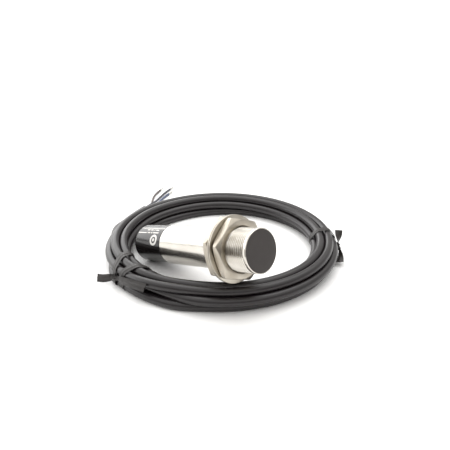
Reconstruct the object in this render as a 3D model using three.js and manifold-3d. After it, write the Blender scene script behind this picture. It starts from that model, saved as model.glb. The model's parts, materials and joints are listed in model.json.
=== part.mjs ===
// Cylindrical inductive proximity sensor, M18 x 1, with its connecting cable wound into a tied coil.
// Millimetres, +Z up. The floor is z = 0. +X follows the barrel's heading towards the sensing face.
// The cap's rear edge stands on the floor and the lock washers lean on the coil, so the nose is raised.

import * as THREE from 'three';
import * as BufferGeometryUtils from 'three/addons/utils/BufferGeometryUtils.js';
import Module from 'manifold-3d';

const wasm = await Module();
wasm.setup();

// ---------------------------------------------------------------- driving dimensions

const ROUND_SEGMENTS = 48; // the outer pieces
const INNER_SEGMENTS = 32; // what the barrel hides
const SMALL_SEGMENTS = 16;
const COIL_SEGMENTS = 56;
const COIL_SIDES = 16;

const FIT_GAP = 0.2; // between pieces that touch
const BORE_GAP = 0.3; // radial, between a spigot, a nut or a washer and what it goes over or into

// barrel: nickel-plated brass tube, threaded at the front
const BARREL_LENGTH = 54.5;
const BARREL_RADIUS = 9.0;
const BARREL_BORE_RADIUS = 7.8;
const BARREL_FRONT_CHAMFER = 0.35;
const BARREL_REAR_CHAMFER = 0.5;
const FACE_RADIUS = 8.45;
const FACE_DEPTH = 1.6;
const FACE_GAP = 0.12;

// rear cap: moulded shell with a spigot that goes into the barrel
const CAP_LENGTH = 20.3;
const CAP_RADIUS = 8.7;
const CAP_END_CHAMFER = 1.4;
const CAP_SPIGOT_LENGTH = 5.0;
const CAP_WALL = 1.25;
const CAP_FLOOR = 7.0;
const SEAL_SETBACK = 1.6; // barrel's rear edge to the seal's groove
const SEAL_WIDTH = 1.0;
const SEAL_DEPTH = 0.65;
const LIGHT_PIPE_RADIUS = 1.0;
const LIGHT_PIPE_RECESS = 0.2;
const LIGHT_PIPE_REACH = 2.0; // beyond the cap's floor
const STUB_REACH = 6.0; // cable beyond the cap's floor
const CRIMP_SETBACK = 2.0; // crimp sleeve from the cap's floor
const CRIMP_LENGTH = 3.0;
const CRIMP_WALL = 0.5;

// sensing end
const SKIRT_LENGTH = 9.0;
const SKIRT_WALL = 0.4;
const FACE_THICKNESS = 0.9;
const SHIELD_WALL = 0.3;
const CORE_LENGTH = 7.0;
const CORE_BACK = 2.0;
const CORE_POST_RADIUS = 2.9;
const CORE_RIM = 0.8;
const BOBBIN_WALL = 0.5;
const WINDING_DEPTH = 1.4;

// circuit
const BOARD_LENGTH = 36.0;
const BOARD_WIDTH = 11.0;
const BOARD_THICKNESS = 1.0;
const BOARD_DROP = 1.5; // the board's underside below the barrel's axis
const COMPONENT_ROOM = 3.2;
const RESIN_GAP = 0.3;
const CAPACITOR_RADIUS = 1.3;
const CAPACITOR_LENGTH = 4.6;
const CAPACITOR_SETBACK = 22.0;
const CAPACITOR_SIDE = 1.8;
const LAND_PITCH = 3.0; // between the conductors' places on the board's rear edge

// nuts and lock washers
const NUT_SETBACK = 10.0; // sensing face to the front nut's front face
const NUT_ACROSS_FLATS = 24.0;
const NUT_THICKNESS = 4.0;
const NUT_CHAMFER = 0.75;
const NUT_FACE_INSET = 0.25; // the turned-off corners start this far inside the flats
const FRONT_TRAVEL = 9.0; // along the thread, from where the nuts are
const REAR_TRAVEL = 3.0;
const FRONT_NUT_TURN = 6.9; // degrees about the axis, a corner from straight up
const REAR_NUT_TURN = 1.6;
const WASHER_RADIUS = 14.0;
const WASHER_THICKNESS = 0.65;

// cable and its coil
const CORD_DIAMETER = 4.1;
const COIL_MEAN_RADIUS = 51.2;
const COIL_WIDTH = 12.6;
const COIL_LAYERS = 3;
const COIL_LAYER_RISE = 0.745; // of a cable diameter, for each layer after the first
const COIL_CENTRE = new THREE.Vector2(-14.25, 29.4);
const COIL_SQUARENESS = 2.5; // exponent of the bundle's superellipse section
const TIE_THICKNESS = 0.45;
const TIE_GAP = 0.2;
const TIE_WIDTH = 3.8;
const TWIST_DEPTH = 2.4;
const LEFT_TIE = { loops: [-106, -93], twist: -99.5, length: 16, height: 4.5 }; // degrees, millimetres
const RIGHT_TIE = { loops: [46], twist: 43, length: 11, height: 6.0 };
const REST_GAP = 0.25; // between the coil and what leans on it or passes over it
const GROMMET_NOSE = 3.0;
const GROMMET_WALL = 0.8;
const GROMMET_COLLAR = 1.0; // thickness of the flange behind the cap's floor
const WIRE_DIAMETER = 1.3;
const STRIPPED_DIAMETER = 0.8;
const STRIPPED_LENGTH = 5.0;
const WIRE_CIRCLE = 0.85; // conductor axis from the cable's axis
const INNER_WIRE_DIAMETER = 1.1;

// the cap's rear face centre, as it stands on the floor
const REAR_X = -35.27;

// ---------------------------------------------------------------- stations along the barrel's axis
// Measured from the cap's rear face, which is 0, towards the sensing face.

const BARREL_START = CAP_LENGTH + FIT_GAP;
const BARREL_END = BARREL_START + BARREL_LENGTH;
const SPIGOT_END = CAP_LENGTH + CAP_SPIGOT_LENGTH;
const SPIGOT_RADIUS = BARREL_BORE_RADIUS - BORE_GAP;
const CAP_CAVITY_RADIUS = SPIGOT_RADIUS - CAP_WALL;
const LIGHT_PIPE_OFFSET = CAP_CAVITY_RADIUS - LIGHT_PIPE_RADIUS - FIT_GAP;
const CAP_MOUTH_RADIUS = CORD_DIAMETER / 2 + GROMMET_WALL + 2 * FIT_GAP;
const CORE_FRONT = BARREL_END - FACE_THICKNESS - BORE_GAP;
const CORE_REAR = CORE_FRONT - CORE_LENGTH;
const SKIRT_RADIUS = BARREL_BORE_RADIUS - FIT_GAP;
const SHIELD_RADIUS = SKIRT_RADIUS - SKIRT_WALL - FIT_GAP;
const CORE_RADIUS = SHIELD_RADIUS - SHIELD_WALL - FIT_GAP;
const BOARD_FRONT = CORE_REAR - FIT_GAP;
const BOARD_REAR = BOARD_FRONT - BOARD_LENGTH;
const BOARD_TOP = BOARD_THICKNESS - BOARD_DROP;
const FRONT_NUT_START = BARREL_END - NUT_SETBACK - NUT_THICKNESS;
const FRONT_WASHER_START = FRONT_NUT_START - FIT_GAP - WASHER_THICKNESS;
const REAR_WASHER_START = FRONT_WASHER_START - FIT_GAP - WASHER_THICKNESS;
const REAR_NUT_START = REAR_WASHER_START - FIT_GAP - NUT_THICKNESS;
const THREADED_BORE_RADIUS = BARREL_RADIUS + BORE_GAP;
const NUT_CORNER_RADIUS = NUT_ACROSS_FLATS / Math.sqrt(3);

// the coil's section
const COIL_BOTTOM = TIE_THICKNESS + TIE_GAP;
const COIL_HEIGHT = CORD_DIAMETER * (1 + (COIL_LAYERS - 1) * COIL_LAYER_RISE);
const COIL_MIDDLE = COIL_BOTTOM + COIL_HEIGHT / 2;

// ---------------------------------------------------------------- the cable's route where it isn't coiled
// Points of the free ends, [x, y, z]: the lead from the cap to the coil, counted from the grommet's
// nose, the tail from the coil to where the jacket is cut back, and the three conductors that fan
// out of it.

const LEAD_FROM_EXIT = [
  [-0.3, 0.0, -0.1],
  [-2.6, 0.0, -0.8],
  [-5.0, 0.1, -1.5],
  [-7.2, 0.5, -2.1],
];
const TAIL_POINTS = [
  [-68.0, 2.0, 2.1],
  [-72.6, 9.8, 2.1],
  [-76.4, 17.6, 2.1],
  [-79.5, 25.0, 2.1],
  [-81.9, 32.4, 2.1],
];
const WIRE_POINTS = {
  brown: [
    [-82.7, 32.5, 1.7],
    [-85.2, 38.2, 1.2],
    [-90.0, 43.8, 0.8],
    [-95.8, 49.4, 0.8],
    [-100.2, 55.4, 0.8],
    [-103.2, 61.0, 0.8],
  ],
  black: [
    [-82.0, 32.7, 3.0],
    [-84.2, 39.0, 2.8],
    [-88.4, 45.8, 1.6],
    [-93.2, 52.8, 0.8],
    [-97.2, 60.2, 0.8],
    [-100.0, 66.8, 0.8],
  ],
  blue: [
    [-81.3, 32.9, 1.7],
    [-82.8, 39.4, 1.2],
    [-86.4, 46.2, 0.8],
    [-90.6, 53.0, 0.8],
    [-93.8, 60.6, 0.8],
  ],
};

// ---------------------------------------------------------------- finishes

const finish = (color, roughness, metalness) =>
  new THREE.MeshStandardMaterial({ color, roughness, metalness });
const NICKEL = finish('#cfc9bd', 0.25, 1.0);
const BLACK_PBT = finish('#3b3736', 0.5, 0.0);
const BLACK_GLOSS = finish('#242222', 0.25, 0.0);
const FERRITE = finish('#3a3a3c', 0.7, 0.1);
const NATURAL_NYLON = finish('#d9d3c0', 0.5, 0.0);
const COPPER = finish('#b4693c', 0.35, 1.0);
const BOARD_GREEN = finish('#1f6a3c', 0.5, 0.0);
const CHIP_BLACK = finish('#1c1c1e', 0.6, 0.0);
const RESIN = finish('#4a3a2a', 0.4, 0.0);
const SEAL_RUBBER = finish('#1d1d1d', 0.8, 0.0);
const AMBER = finish('#e8a13a', 0.2, 0.0);
const CORD_PVC = finish('#2b2728', 0.45, 0.0);
const WIRE_BROWN = finish('#6b4a36', 0.45, 0.0);
const WIRE_BLUE = finish('#5f7fae', 0.45, 0.0);
const WIRE_BLACK = finish('#2c2c30', 0.45, 0.0);
const TINNED = finish('#c9c9c6', 0.3, 1.0);
const TIE_BLACK = finish('#2a2523', 0.5, 0.0);

// ---------------------------------------------------------------- building blocks

function piece(name, geometry, material) {
  const mesh = new THREE.Mesh(geometry, material);
  mesh.name = name;
  return mesh;
}

// A turned solid about the X axis. The outline is a list of [station, radius], and goes round
// counter-clockwise as seen with the radius to the right and the station upwards.
function turned(outline, segments = ROUND_SEGMENTS) {
  const points = outline.map(([station, radius]) => new THREE.Vector2(radius, station));
  return new THREE.LatheGeometry(points, segments).rotateZ(-Math.PI / 2);
}

function tubeOutline(start, end, inner, outer) {
  return [[start, inner], [start, outer], [end, outer], [end, inner], [start, inner]];
}

function rod(start, end, radius, segments = SMALL_SEGMENTS) {
  return turned([[start, 0], [start, radius], [end, radius], [end, 0]], segments);
}

function box(x0, x1, width, z0, z1, y = 0) {
  const geometry = new THREE.BoxGeometry(x1 - x0, width, z1 - z0);
  return geometry.translate((x0 + x1) / 2, y, (z0 + z1) / 2);
}

// The closed solid of a geometry, for a cut or a join.
function solidOf(geometry) {
  const bare = geometry.clone();
  bare.deleteAttribute('normal');
  bare.deleteAttribute('uv');
  const merged = BufferGeometryUtils.mergeVertices(bare, 1e-4);
  const corners = merged.index.array;
  const kept = [];
  for (let i = 0; i < corners.length; i += 3) {
    const [a, b, c] = [corners[i], corners[i + 1], corners[i + 2]];
    if (a !== b && b !== c && c !== a) kept.push(a, b, c);
  }
  return new wasm.Manifold(new wasm.Mesh({
    numProp: 3,
    vertProperties: new Float32Array(merged.attributes.position.array),
    triVerts: new Uint32Array(kept),
  }));
}

function geometryOf(solid) {
  const mesh = solid.getMesh();
  const geometry = new THREE.BufferGeometry();
  geometry.setAttribute('position', new THREE.BufferAttribute(mesh.vertProperties, 3));
  geometry.setIndex(new THREE.BufferAttribute(mesh.triVerts, 1));
  geometry.computeVertexNormals();
  return geometry;
}

// A tube along hand-chosen points.
function tubeAlong(points, diameter, sides, steps) {
  const curve = new THREE.CatmullRomCurve3(points.map((p) => new THREE.Vector3(...p)));
  const section = new THREE.Shape();
  for (let i = 0; i < sides; i += 1) {
    const angle = (2 * Math.PI * i) / sides;
    const x = (diameter / 2) * Math.cos(angle);
    const y = (diameter / 2) * Math.sin(angle);
    if (i === 0) section.moveTo(x, y);
    else section.lineTo(x, y);
  }
  section.closePath();
  return new THREE.ExtrudeGeometry(section, { extrudePath: curve, steps, bevelEnabled: false });
}

// ---------------------------------------------------------------- barrel and sensing end

function barrel() {
  const seat = FACE_RADIUS + FACE_GAP;
  const shoulder = BARREL_END - FACE_DEPTH - FACE_GAP;
  return piece('barrel', turned([
    [BARREL_START, BARREL_BORE_RADIUS],
    [BARREL_START, BARREL_RADIUS - BARREL_REAR_CHAMFER],
    [BARREL_START + BARREL_REAR_CHAMFER, BARREL_RADIUS],
    [BARREL_END - BARREL_FRONT_CHAMFER, BARREL_RADIUS],
    [BARREL_END, BARREL_RADIUS - BARREL_FRONT_CHAMFER],
    [BARREL_END, seat],
    [shoulder, seat],
    [shoulder, BARREL_BORE_RADIUS],
    [BARREL_START, BARREL_BORE_RADIUS],
  ]), NICKEL);
}

function sensingCap() {
  const skirtEnd = BARREL_END - FACE_DEPTH - SKIRT_LENGTH;
  const step = BARREL_END - FACE_DEPTH;
  const inside = SKIRT_RADIUS - SKIRT_WALL;
  return piece('sensing_cap', turned([
    [BARREL_END - FACE_THICKNESS, 0],
    [BARREL_END - FACE_THICKNESS, inside],
    [skirtEnd, inside],
    [skirtEnd, SKIRT_RADIUS],
    [step, SKIRT_RADIUS],
    [step, FACE_RADIUS],
    [BARREL_END, FACE_RADIUS],
    [BARREL_END, 0],
  ]), BLACK_PBT);
}

function shieldRing() {
  const outline = tubeOutline(CORE_REAR, CORE_FRONT, SHIELD_RADIUS - SHIELD_WALL, SHIELD_RADIUS);
  return piece('shield_ring', turned(outline, INNER_SEGMENTS), COPPER);
}

function ferriteCore() {
  const floor = CORE_REAR + CORE_BACK;
  return piece('ferrite_core', turned([
    [CORE_REAR, 0],
    [CORE_REAR, CORE_RADIUS],
    [CORE_FRONT, CORE_RADIUS],
    [CORE_FRONT, CORE_RADIUS - CORE_RIM],
    [floor, CORE_RADIUS - CORE_RIM],
    [floor, CORE_POST_RADIUS],
    [CORE_FRONT, CORE_POST_RADIUS],
    [CORE_FRONT, 0],
  ], INNER_SEGMENTS), FERRITE);
}

// The spool sits in the core's groove, and the winding sits on the spool.
function bobbinSizes() {
  return {
    start: CORE_REAR + CORE_BACK + FIT_GAP,
    end: CORE_FRONT,
    inner: CORE_POST_RADIUS + FIT_GAP,
    outer: CORE_RADIUS - CORE_RIM - FIT_GAP,
  };
}

function coilBobbin() {
  const { start, end, inner, outer } = bobbinSizes();
  const drum = inner + BOBBIN_WALL;
  return piece('coil_bobbin', turned([
    [start, inner],
    [start, outer],
    [start + BOBBIN_WALL, outer],
    [start + BOBBIN_WALL, drum],
    [end - BOBBIN_WALL, drum],
    [end - BOBBIN_WALL, outer],
    [end, outer],
    [end, inner],
    [start, inner],
  ], INNER_SEGMENTS), NATURAL_NYLON);
}

function coilWinding() {
  const { start, end, inner, outer } = bobbinSizes();
  const drum = inner + BOBBIN_WALL + FIT_GAP;
  const top = Math.min(drum + WINDING_DEPTH, outer);
  const inset = BOBBIN_WALL + FIT_GAP;
  const outline = tubeOutline(start + inset, end - inset, drum, top);
  return piece('coil_winding', turned(outline, INNER_SEGMENTS), COPPER);
}

// ---------------------------------------------------------------- circuit

function circuitBoard() {
  const geometry = box(BOARD_REAR, BOARD_FRONT, BOARD_WIDTH, -BOARD_DROP, BOARD_TOP);
  return piece('circuit_board', geometry, BOARD_GREEN);
}

// A component on the board's upper face: its place along the board is measured from the front edge.
function component(name, setback, length, width, height, side, material) {
  const front = BOARD_FRONT - setback;
  const low = BOARD_TOP + FIT_GAP;
  return piece(name, box(front - length, front, width, low, low + height, side), material);
}

function smoothingCapacitor() {
  const front = BOARD_FRONT - CAPACITOR_SETBACK;
  const height = BOARD_TOP + FIT_GAP + CAPACITOR_RADIUS;
  const geometry = rod(front - CAPACITOR_LENGTH, front, CAPACITOR_RADIUS);
  geometry.translate(0, CAPACITOR_SIDE, height);
  return piece('smoothing_capacitor', geometry, AMBER);
}

function components() {
  return [
    component('oscillator_chip', 4.0, 5.0, 4.0, 1.5, 0, CHIP_BLACK),
    component('trim_resistor', 12.0, 2.0, 3.2, 0.6, 2.0, CHIP_BLACK),
    component('output_transistor', 16.0, 3.0, 3.0, 1.3, -1.8, CHIP_BLACK),
    smoothingCapacitor(),
    component('surge_diode', 28.5, 2.6, 1.8, 1.2, -2.2, CHIP_BLACK),
    component('status_led', 33.5, 1.6, 1.0, 0.8, 2.0, AMBER),
  ];
}

// Potting resin round the board, with the channel that the board and its components lie in.
function pottingResin() {
  const start = Math.max(BOARD_REAR, SPIGOT_END + FIT_GAP);
  const end = Math.min(BOARD_FRONT, BARREL_END - FACE_DEPTH - SKIRT_LENGTH - FIT_GAP);
  const body = solidOf(rod(start, end, BARREL_BORE_RADIUS - BORE_GAP, ROUND_SEGMENTS));
  const low = -BOARD_DROP - RESIN_GAP;
  const high = BOARD_TOP + COMPONENT_ROOM;
  const channel = solidOf(box(start - 1, end + 1, BOARD_WIDTH + 2 * RESIN_GAP, low, high));
  return piece('potting_resin', geometryOf(body.subtract(channel)), RESIN);
}

// ---------------------------------------------------------------- rear cap and cable entry

function rearCap() {
  const endRadius = CAP_RADIUS - CAP_END_CHAMFER;
  const grooveStart = BARREL_START + SEAL_SETBACK;
  const grooveRadius = SPIGOT_RADIUS - SEAL_DEPTH;
  const shell = solidOf(turned([
    [0, CAP_MOUTH_RADIUS],
    [0, endRadius],
    [CAP_END_CHAMFER * 0.3, endRadius + CAP_END_CHAMFER * 0.65],
    [CAP_END_CHAMFER, CAP_RADIUS],
    [CAP_LENGTH, CAP_RADIUS],
    [CAP_LENGTH, SPIGOT_RADIUS],
    [grooveStart, SPIGOT_RADIUS],
    [grooveStart, grooveRadius],
    [grooveStart + SEAL_WIDTH + 2 * FIT_GAP, grooveRadius],
    [grooveStart + SEAL_WIDTH + 2 * FIT_GAP, SPIGOT_RADIUS],
    [SPIGOT_END, SPIGOT_RADIUS],
    [SPIGOT_END, CAP_CAVITY_RADIUS],
    [CAP_FLOOR, CAP_CAVITY_RADIUS],
    [CAP_FLOOR, CAP_MOUTH_RADIUS],
    [0, CAP_MOUTH_RADIUS],
  ]));
  const lightHole = rod(-1, CAP_FLOOR + 1, LIGHT_PIPE_RADIUS + FIT_GAP);
  lightHole.translate(0, 0, LIGHT_PIPE_OFFSET);
  return piece('rear_cap', geometryOf(shell.subtract(solidOf(lightHole))), BLACK_GLOSS);
}

function capSeal() {
  const start = BARREL_START + SEAL_SETBACK + FIT_GAP;
  const inner = SPIGOT_RADIUS - SEAL_DEPTH + FIT_GAP;
  const outer = BARREL_BORE_RADIUS - FIT_GAP / 2;
  const outline = tubeOutline(start, start + SEAL_WIDTH, inner, outer);
  return piece('cap_seal', turned(outline), SEAL_RUBBER);
}

function lightPipe() {
  const geometry = rod(LIGHT_PIPE_RECESS, CAP_FLOOR + LIGHT_PIPE_REACH, LIGHT_PIPE_RADIUS);
  geometry.translate(0, 0, LIGHT_PIPE_OFFSET);
  return piece('light_pipe', geometry, AMBER);
}

// Soft sleeve in the cap's mouth, with a tapered nose where the cable leaves.
function cableGrommet() {
  const inner = CORD_DIAMETER / 2 + FIT_GAP;
  const outer = inner + GROMMET_WALL;
  const flange = LIGHT_PIPE_OFFSET - LIGHT_PIPE_RADIUS - FIT_GAP;
  const inside = CAP_FLOOR + FIT_GAP;
  return piece('cable_grommet', turned([
    [-GROMMET_NOSE, inner],
    [-GROMMET_NOSE, inner + GROMMET_WALL * 0.45],
    [0, outer - FIT_GAP / 2],
    [inside, outer - FIT_GAP / 2],
    [inside, flange],
    [inside + GROMMET_COLLAR, flange],
    [inside + GROMMET_COLLAR, inner],
    [-GROMMET_NOSE, inner],
  ], INNER_SEGMENTS), SEAL_RUBBER);
}

function cableStub() {
  return piece('cable_stub', rod(-GROMMET_NOSE, CAP_FLOOR + STUB_REACH, CORD_DIAMETER / 2), CORD_PVC);
}

function crimpSleeve() {
  const inner = CORD_DIAMETER / 2 + FIT_GAP;
  const start = CAP_FLOOR + CRIMP_SETBACK;
  const outline = tubeOutline(start, start + CRIMP_LENGTH, inner, inner + CRIMP_WALL);
  return piece('crimp_sleeve', turned(outline, SMALL_SEGMENTS), TINNED);
}

// The three conductors inside the cap, from the end of the cable to the board's rear edge.
function innerConductors() {
  const start = CAP_FLOOR + STUB_REACH + FIT_GAP;
  const end = BOARD_REAR - FIT_GAP;
  const middle = (start + end) / 2;
  const lands = { brown: LAND_PITCH, black: 0.0, blue: -LAND_PITCH };
  const material = { brown: WIRE_BROWN, black: WIRE_BLACK, blue: WIRE_BLUE };
  return Object.keys(lands).map((colour) => {
    const y = lands[colour];
    const side = Math.sign(y) * WIRE_CIRCLE;
    const rise = y === 0 ? WIRE_CIRCLE : -WIRE_CIRCLE / 2;
    const route = [
      [start, side, rise],
      [middle, (side + y) / 2, rise / 2],
      [end, y, 0],
    ];
    return piece(`inner_conductor_${colour}`, tubeAlong(route, INNER_WIRE_DIAMETER, 8, 5), material[colour]);
  });
}

// ---------------------------------------------------------------- nuts and washers

// A hexagon with both faces' corners turned off at 30 degrees, and a plain bore.
function hexNut(name, start, turn) {
  const end = start + NUT_THICKNESS;
  const prism = new THREE.CylinderGeometry(NUT_CORNER_RADIUS, NUT_CORNER_RADIUS, NUT_THICKNESS, 6);
  prism.rotateZ(-Math.PI / 2).translate((start + end) / 2, 0, 0);
  prism.rotateX(THREE.MathUtils.degToRad(turn));
  const faceRadius = NUT_ACROSS_FLATS / 2 - NUT_FACE_INSET;
  const reach = NUT_CORNER_RADIUS + 2 * NUT_FACE_INSET;
  const run = (reach - faceRadius) * Math.tan(Math.PI / 6);
  const turnedBody = turned([
    [start, 0],
    [start, faceRadius],
    [start + run, reach],
    [end - run, reach],
    [end, faceRadius],
    [end, 0],
  ]);
  const bore = THREADED_BORE_RADIUS;
  const hole = turned([
    [start - 1, 0],
    [start - 1, bore + NUT_CHAMFER],
    [start, bore + NUT_CHAMFER],
    [start + NUT_CHAMFER, bore],
    [end - NUT_CHAMFER, bore],
    [end, bore + NUT_CHAMFER],
    [end + 1, bore + NUT_CHAMFER],
    [end + 1, 0],
  ]);
  const solid = solidOf(prism).intersect(solidOf(turnedBody)).subtract(solidOf(hole));
  return piece(name, geometryOf(solid), NICKEL);
}

function lockWasher(name, start) {
  const outline = tubeOutline(start, start + WASHER_THICKNESS, THREADED_BORE_RADIUS, WASHER_RADIUS);
  return piece(name, turned(outline), NICKEL);
}

// ---------------------------------------------------------------- cable, coil and ties

// A point on the bundle's section, which is a superellipse: [outwards, upwards] from its middle.
function sectionPoint(angle, halfWidth, halfHeight) {
  const power = 2 / COIL_SQUARENESS;
  const c = Math.cos(angle);
  const s = Math.sin(angle);
  return [
    Math.sign(c) * halfWidth * Math.abs(c) ** power,
    Math.sign(s) * halfHeight * Math.abs(s) ** power,
  ];
}

function coilRing() {
  const outline = [];
  for (let i = 0; i <= COIL_SIDES; i += 1) {
    const angle = (2 * Math.PI * (i % COIL_SIDES)) / COIL_SIDES;
    const [out, up] = sectionPoint(angle, COIL_WIDTH / 2, COIL_HEIGHT / 2);
    outline.push(new THREE.Vector2(COIL_MEAN_RADIUS + out, up));
  }
  const geometry = new THREE.LatheGeometry(outline, COIL_SEGMENTS).rotateX(Math.PI / 2);
  geometry.translate(COIL_CENTRE.x, COIL_CENTRE.y, COIL_MIDDLE);
  return piece('cord_coil', geometry, CORD_PVC);
}

// A flat strip round the bundle: a closed loop of the section's shape, extruded along the cable.
function tieLoop(angle) {
  const loop = (grow) => {
    const points = [];
    for (let i = 0; i < COIL_SIDES; i += 1) {
      const turn = (2 * Math.PI * i) / COIL_SIDES;
      const [out, up] = sectionPoint(turn, COIL_WIDTH / 2 + grow, COIL_HEIGHT / 2 + grow);
      points.push(new THREE.Vector2(out, up));
    }
    return points;
  };
  const outside = new THREE.Shape(loop(TIE_GAP + TIE_THICKNESS));
  outside.holes.push(new THREE.Path(loop(TIE_GAP)));
  const geometry = new THREE.ExtrudeGeometry(outside, { depth: TIE_WIDTH, bevelEnabled: false });
  geometry.translate(0, 0, -TIE_WIDTH / 2).rotateX(Math.PI / 2);
  geometry.translate(COIL_MEAN_RADIUS, 0, COIL_MIDDLE).rotateZ(angle);
  return geometry.translate(COIL_CENTRE.x, COIL_CENTRE.y, 0);
}

// The strip's two ends, twisted together outside the bundle: a flat bar along the coil's outside.
function tieTwist(angle, length, height) {
  const reach = COIL_WIDTH / 2 + TIE_GAP;
  const geometry = box(0, TWIST_DEPTH, length, height - TIE_WIDTH / 2, height + TIE_WIDTH / 2);
  geometry.translate(COIL_MEAN_RADIUS + reach, 0, 0).rotateZ(angle);
  return geometry.translate(COIL_CENTRE.x, COIL_CENTRE.y, 0);
}

function twistTie(name, { loops, twist, length, height }) {
  const radians = THREE.MathUtils.degToRad;
  let solid = solidOf(tieTwist(radians(twist), length, height));
  for (const angle of loops) solid = solid.add(solidOf(tieLoop(radians(angle))));
  return piece(name, geometryOf(solid), TIE_BLACK);
}

// The lead goes straight out of the grommet, starts to bend, and meets the coil's inner side.
function cordLead(exit) {
  const points = LEAD_FROM_EXIT.map(([x, y, z]) => [exit.x + x, exit.y + y, exit.z + z]);
  return piece('cord_lead', tubeAlong(points, CORD_DIAMETER, 12, 6), CORD_PVC);
}

function cordTail() {
  return piece('cord_tail', tubeAlong(TAIL_POINTS, CORD_DIAMETER, 12, 8), CORD_PVC);
}

// A conductor and its stripped, tinned end, which lies on in the same direction.
function outerWire(colour, material) {
  const points = WIRE_POINTS[colour];
  const tip = new THREE.Vector3(...points.at(-1));
  const before = new THREE.Vector3(...points.at(-2));
  const direction = tip.clone().sub(before).setZ(0).normalize();
  const start = tip.clone().addScaledVector(direction, BORE_GAP);
  const end = start.clone().addScaledVector(direction, STRIPPED_LENGTH);
  return [
    piece(`wire_${colour}`, tubeAlong(points, WIRE_DIAMETER, 8, 12), material),
    piece(`stripped_end_${colour}`,
      tubeAlong([start.toArray(), end.toArray()], STRIPPED_DIAMETER, 8, 2), TINNED),
  ];
}

// ---------------------------------------------------------------- assembly

// The height of the bundle's upper side at a distance from the coil's centre.
function coilHeightAt(distance) {
  const aside = Math.abs(distance - COIL_MEAN_RADIUS) / (COIL_WIDTH / 2);
  if (aside >= 1) return -Infinity;
  return COIL_MIDDLE + (COIL_HEIGHT / 2) * (1 - aside ** COIL_SQUARENESS) ** (1 / COIL_SQUARENESS);
}

// How far a ring on the barrel, at a station and with a radius, stands above the bundle when the cap's
// rear edge stands on the floor and the barrel has this lean.
function ringClearance(lean, station, radius) {
  const rearHeight = CAP_RADIUS * Math.cos(lean) - CAP_END_CHAMFER * Math.sin(lean);
  let least = Infinity;
  for (let turn = -60; turn <= 60; turn += 3) {
    const angle = THREE.MathUtils.degToRad(turn);
    const drop = radius * Math.cos(angle);
    const x = REAR_X + station * Math.cos(lean) + drop * Math.sin(lean) - COIL_CENTRE.x;
    const y = radius * Math.sin(angle) - COIL_CENTRE.y;
    const height = rearHeight + station * Math.sin(lean) - drop * Math.cos(lean);
    least = Math.min(least, height - coilHeightAt(Math.hypot(x, y)));
  }
  return least;
}

// The barrel's lean is the least at which the barrel, and the nuts and washers anywhere on their
// travel, stand clear of the bundle.
function leanAngle() {
  const reach = (start, end) => [start - REAR_TRAVEL, end + FRONT_TRAVEL];
  const rings = [
    [BARREL_START, BARREL_END, BARREL_RADIUS],
    [...reach(REAR_NUT_START, FRONT_NUT_START + NUT_THICKNESS), NUT_CORNER_RADIUS],
    [...reach(REAR_WASHER_START, FRONT_WASHER_START + WASHER_THICKNESS), WASHER_RADIUS],
  ];
  const clears = (lean) => rings.every(([start, end, radius]) => {
    const steps = Math.ceil(2 * (end - start));
    return Array.from({ length: steps + 1 }).every((_, i) => {
      const station = start + ((end - start) * i) / steps;
      return ringClearance(lean, station, radius) >= REST_GAP;
    });
  });
  let low = 0;
  let high = Math.PI / 3;
  for (let halving = 0; halving < 30; halving += 1) {
    const middle = (low + high) / 2;
    if (clears(middle)) high = middle;
    else low = middle;
  }
  return high;
}

const LEAN = leanAngle();
const REAR_Z = CAP_RADIUS * Math.cos(LEAN) - CAP_END_CHAMFER * Math.sin(LEAN);

const sensor = new THREE.Group();
sensor.position.set(REAR_X, 0, REAR_Z);
sensor.rotation.y = -LEAN;
sensor.add(
  barrel(),
  sensingCap(),
  shieldRing(),
  ferriteCore(),
  coilBobbin(),
  coilWinding(),
  circuitBoard(),
  ...components(),
  pottingResin(),
  rearCap(),
  capSeal(),
  lightPipe(),
  cableGrommet(),
  cableStub(),
  crimpSleeve(),
  ...innerConductors(),
  hexNut('front_nut', FRONT_NUT_START, FRONT_NUT_TURN),
  lockWasher('front_washer', FRONT_WASHER_START),
  lockWasher('rear_washer', REAR_WASHER_START),
  hexNut('rear_nut', REAR_NUT_START, REAR_NUT_TURN),
);

const backwards = new THREE.Vector3(-Math.cos(LEAN), 0, -Math.sin(LEAN));
const cordExit = new THREE.Vector3(REAR_X, 0, REAR_Z).addScaledVector(backwards, GROMMET_NOSE);

const cable = new THREE.Group();
cable.add(
  cordLead(cordExit),
  coilRing(),
  cordTail(),
  ...outerWire('brown', WIRE_BROWN),
  ...outerWire('black', WIRE_BLACK),
  ...outerWire('blue', WIRE_BLUE),
  twistTie('left_tie', LEFT_TIE),
  twistTie('right_tie', RIGHT_TIE),
);

const part = new THREE.Group();
part.add(sensor, cable);
part.updateMatrixWorld(true);

export default part;
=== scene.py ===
"""Looks of a cylindrical inductive proximity sensor, M18 x 1, with its tied coil of cable.

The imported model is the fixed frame. Every visible piece is a numpy surface built on that frame's own
measures, dressed in a procedural finish, and rides on the body that it belongs to.
"""

import json
import logging
import math
from dataclasses import dataclass
from enum import Enum
from typing import Sequence

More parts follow.
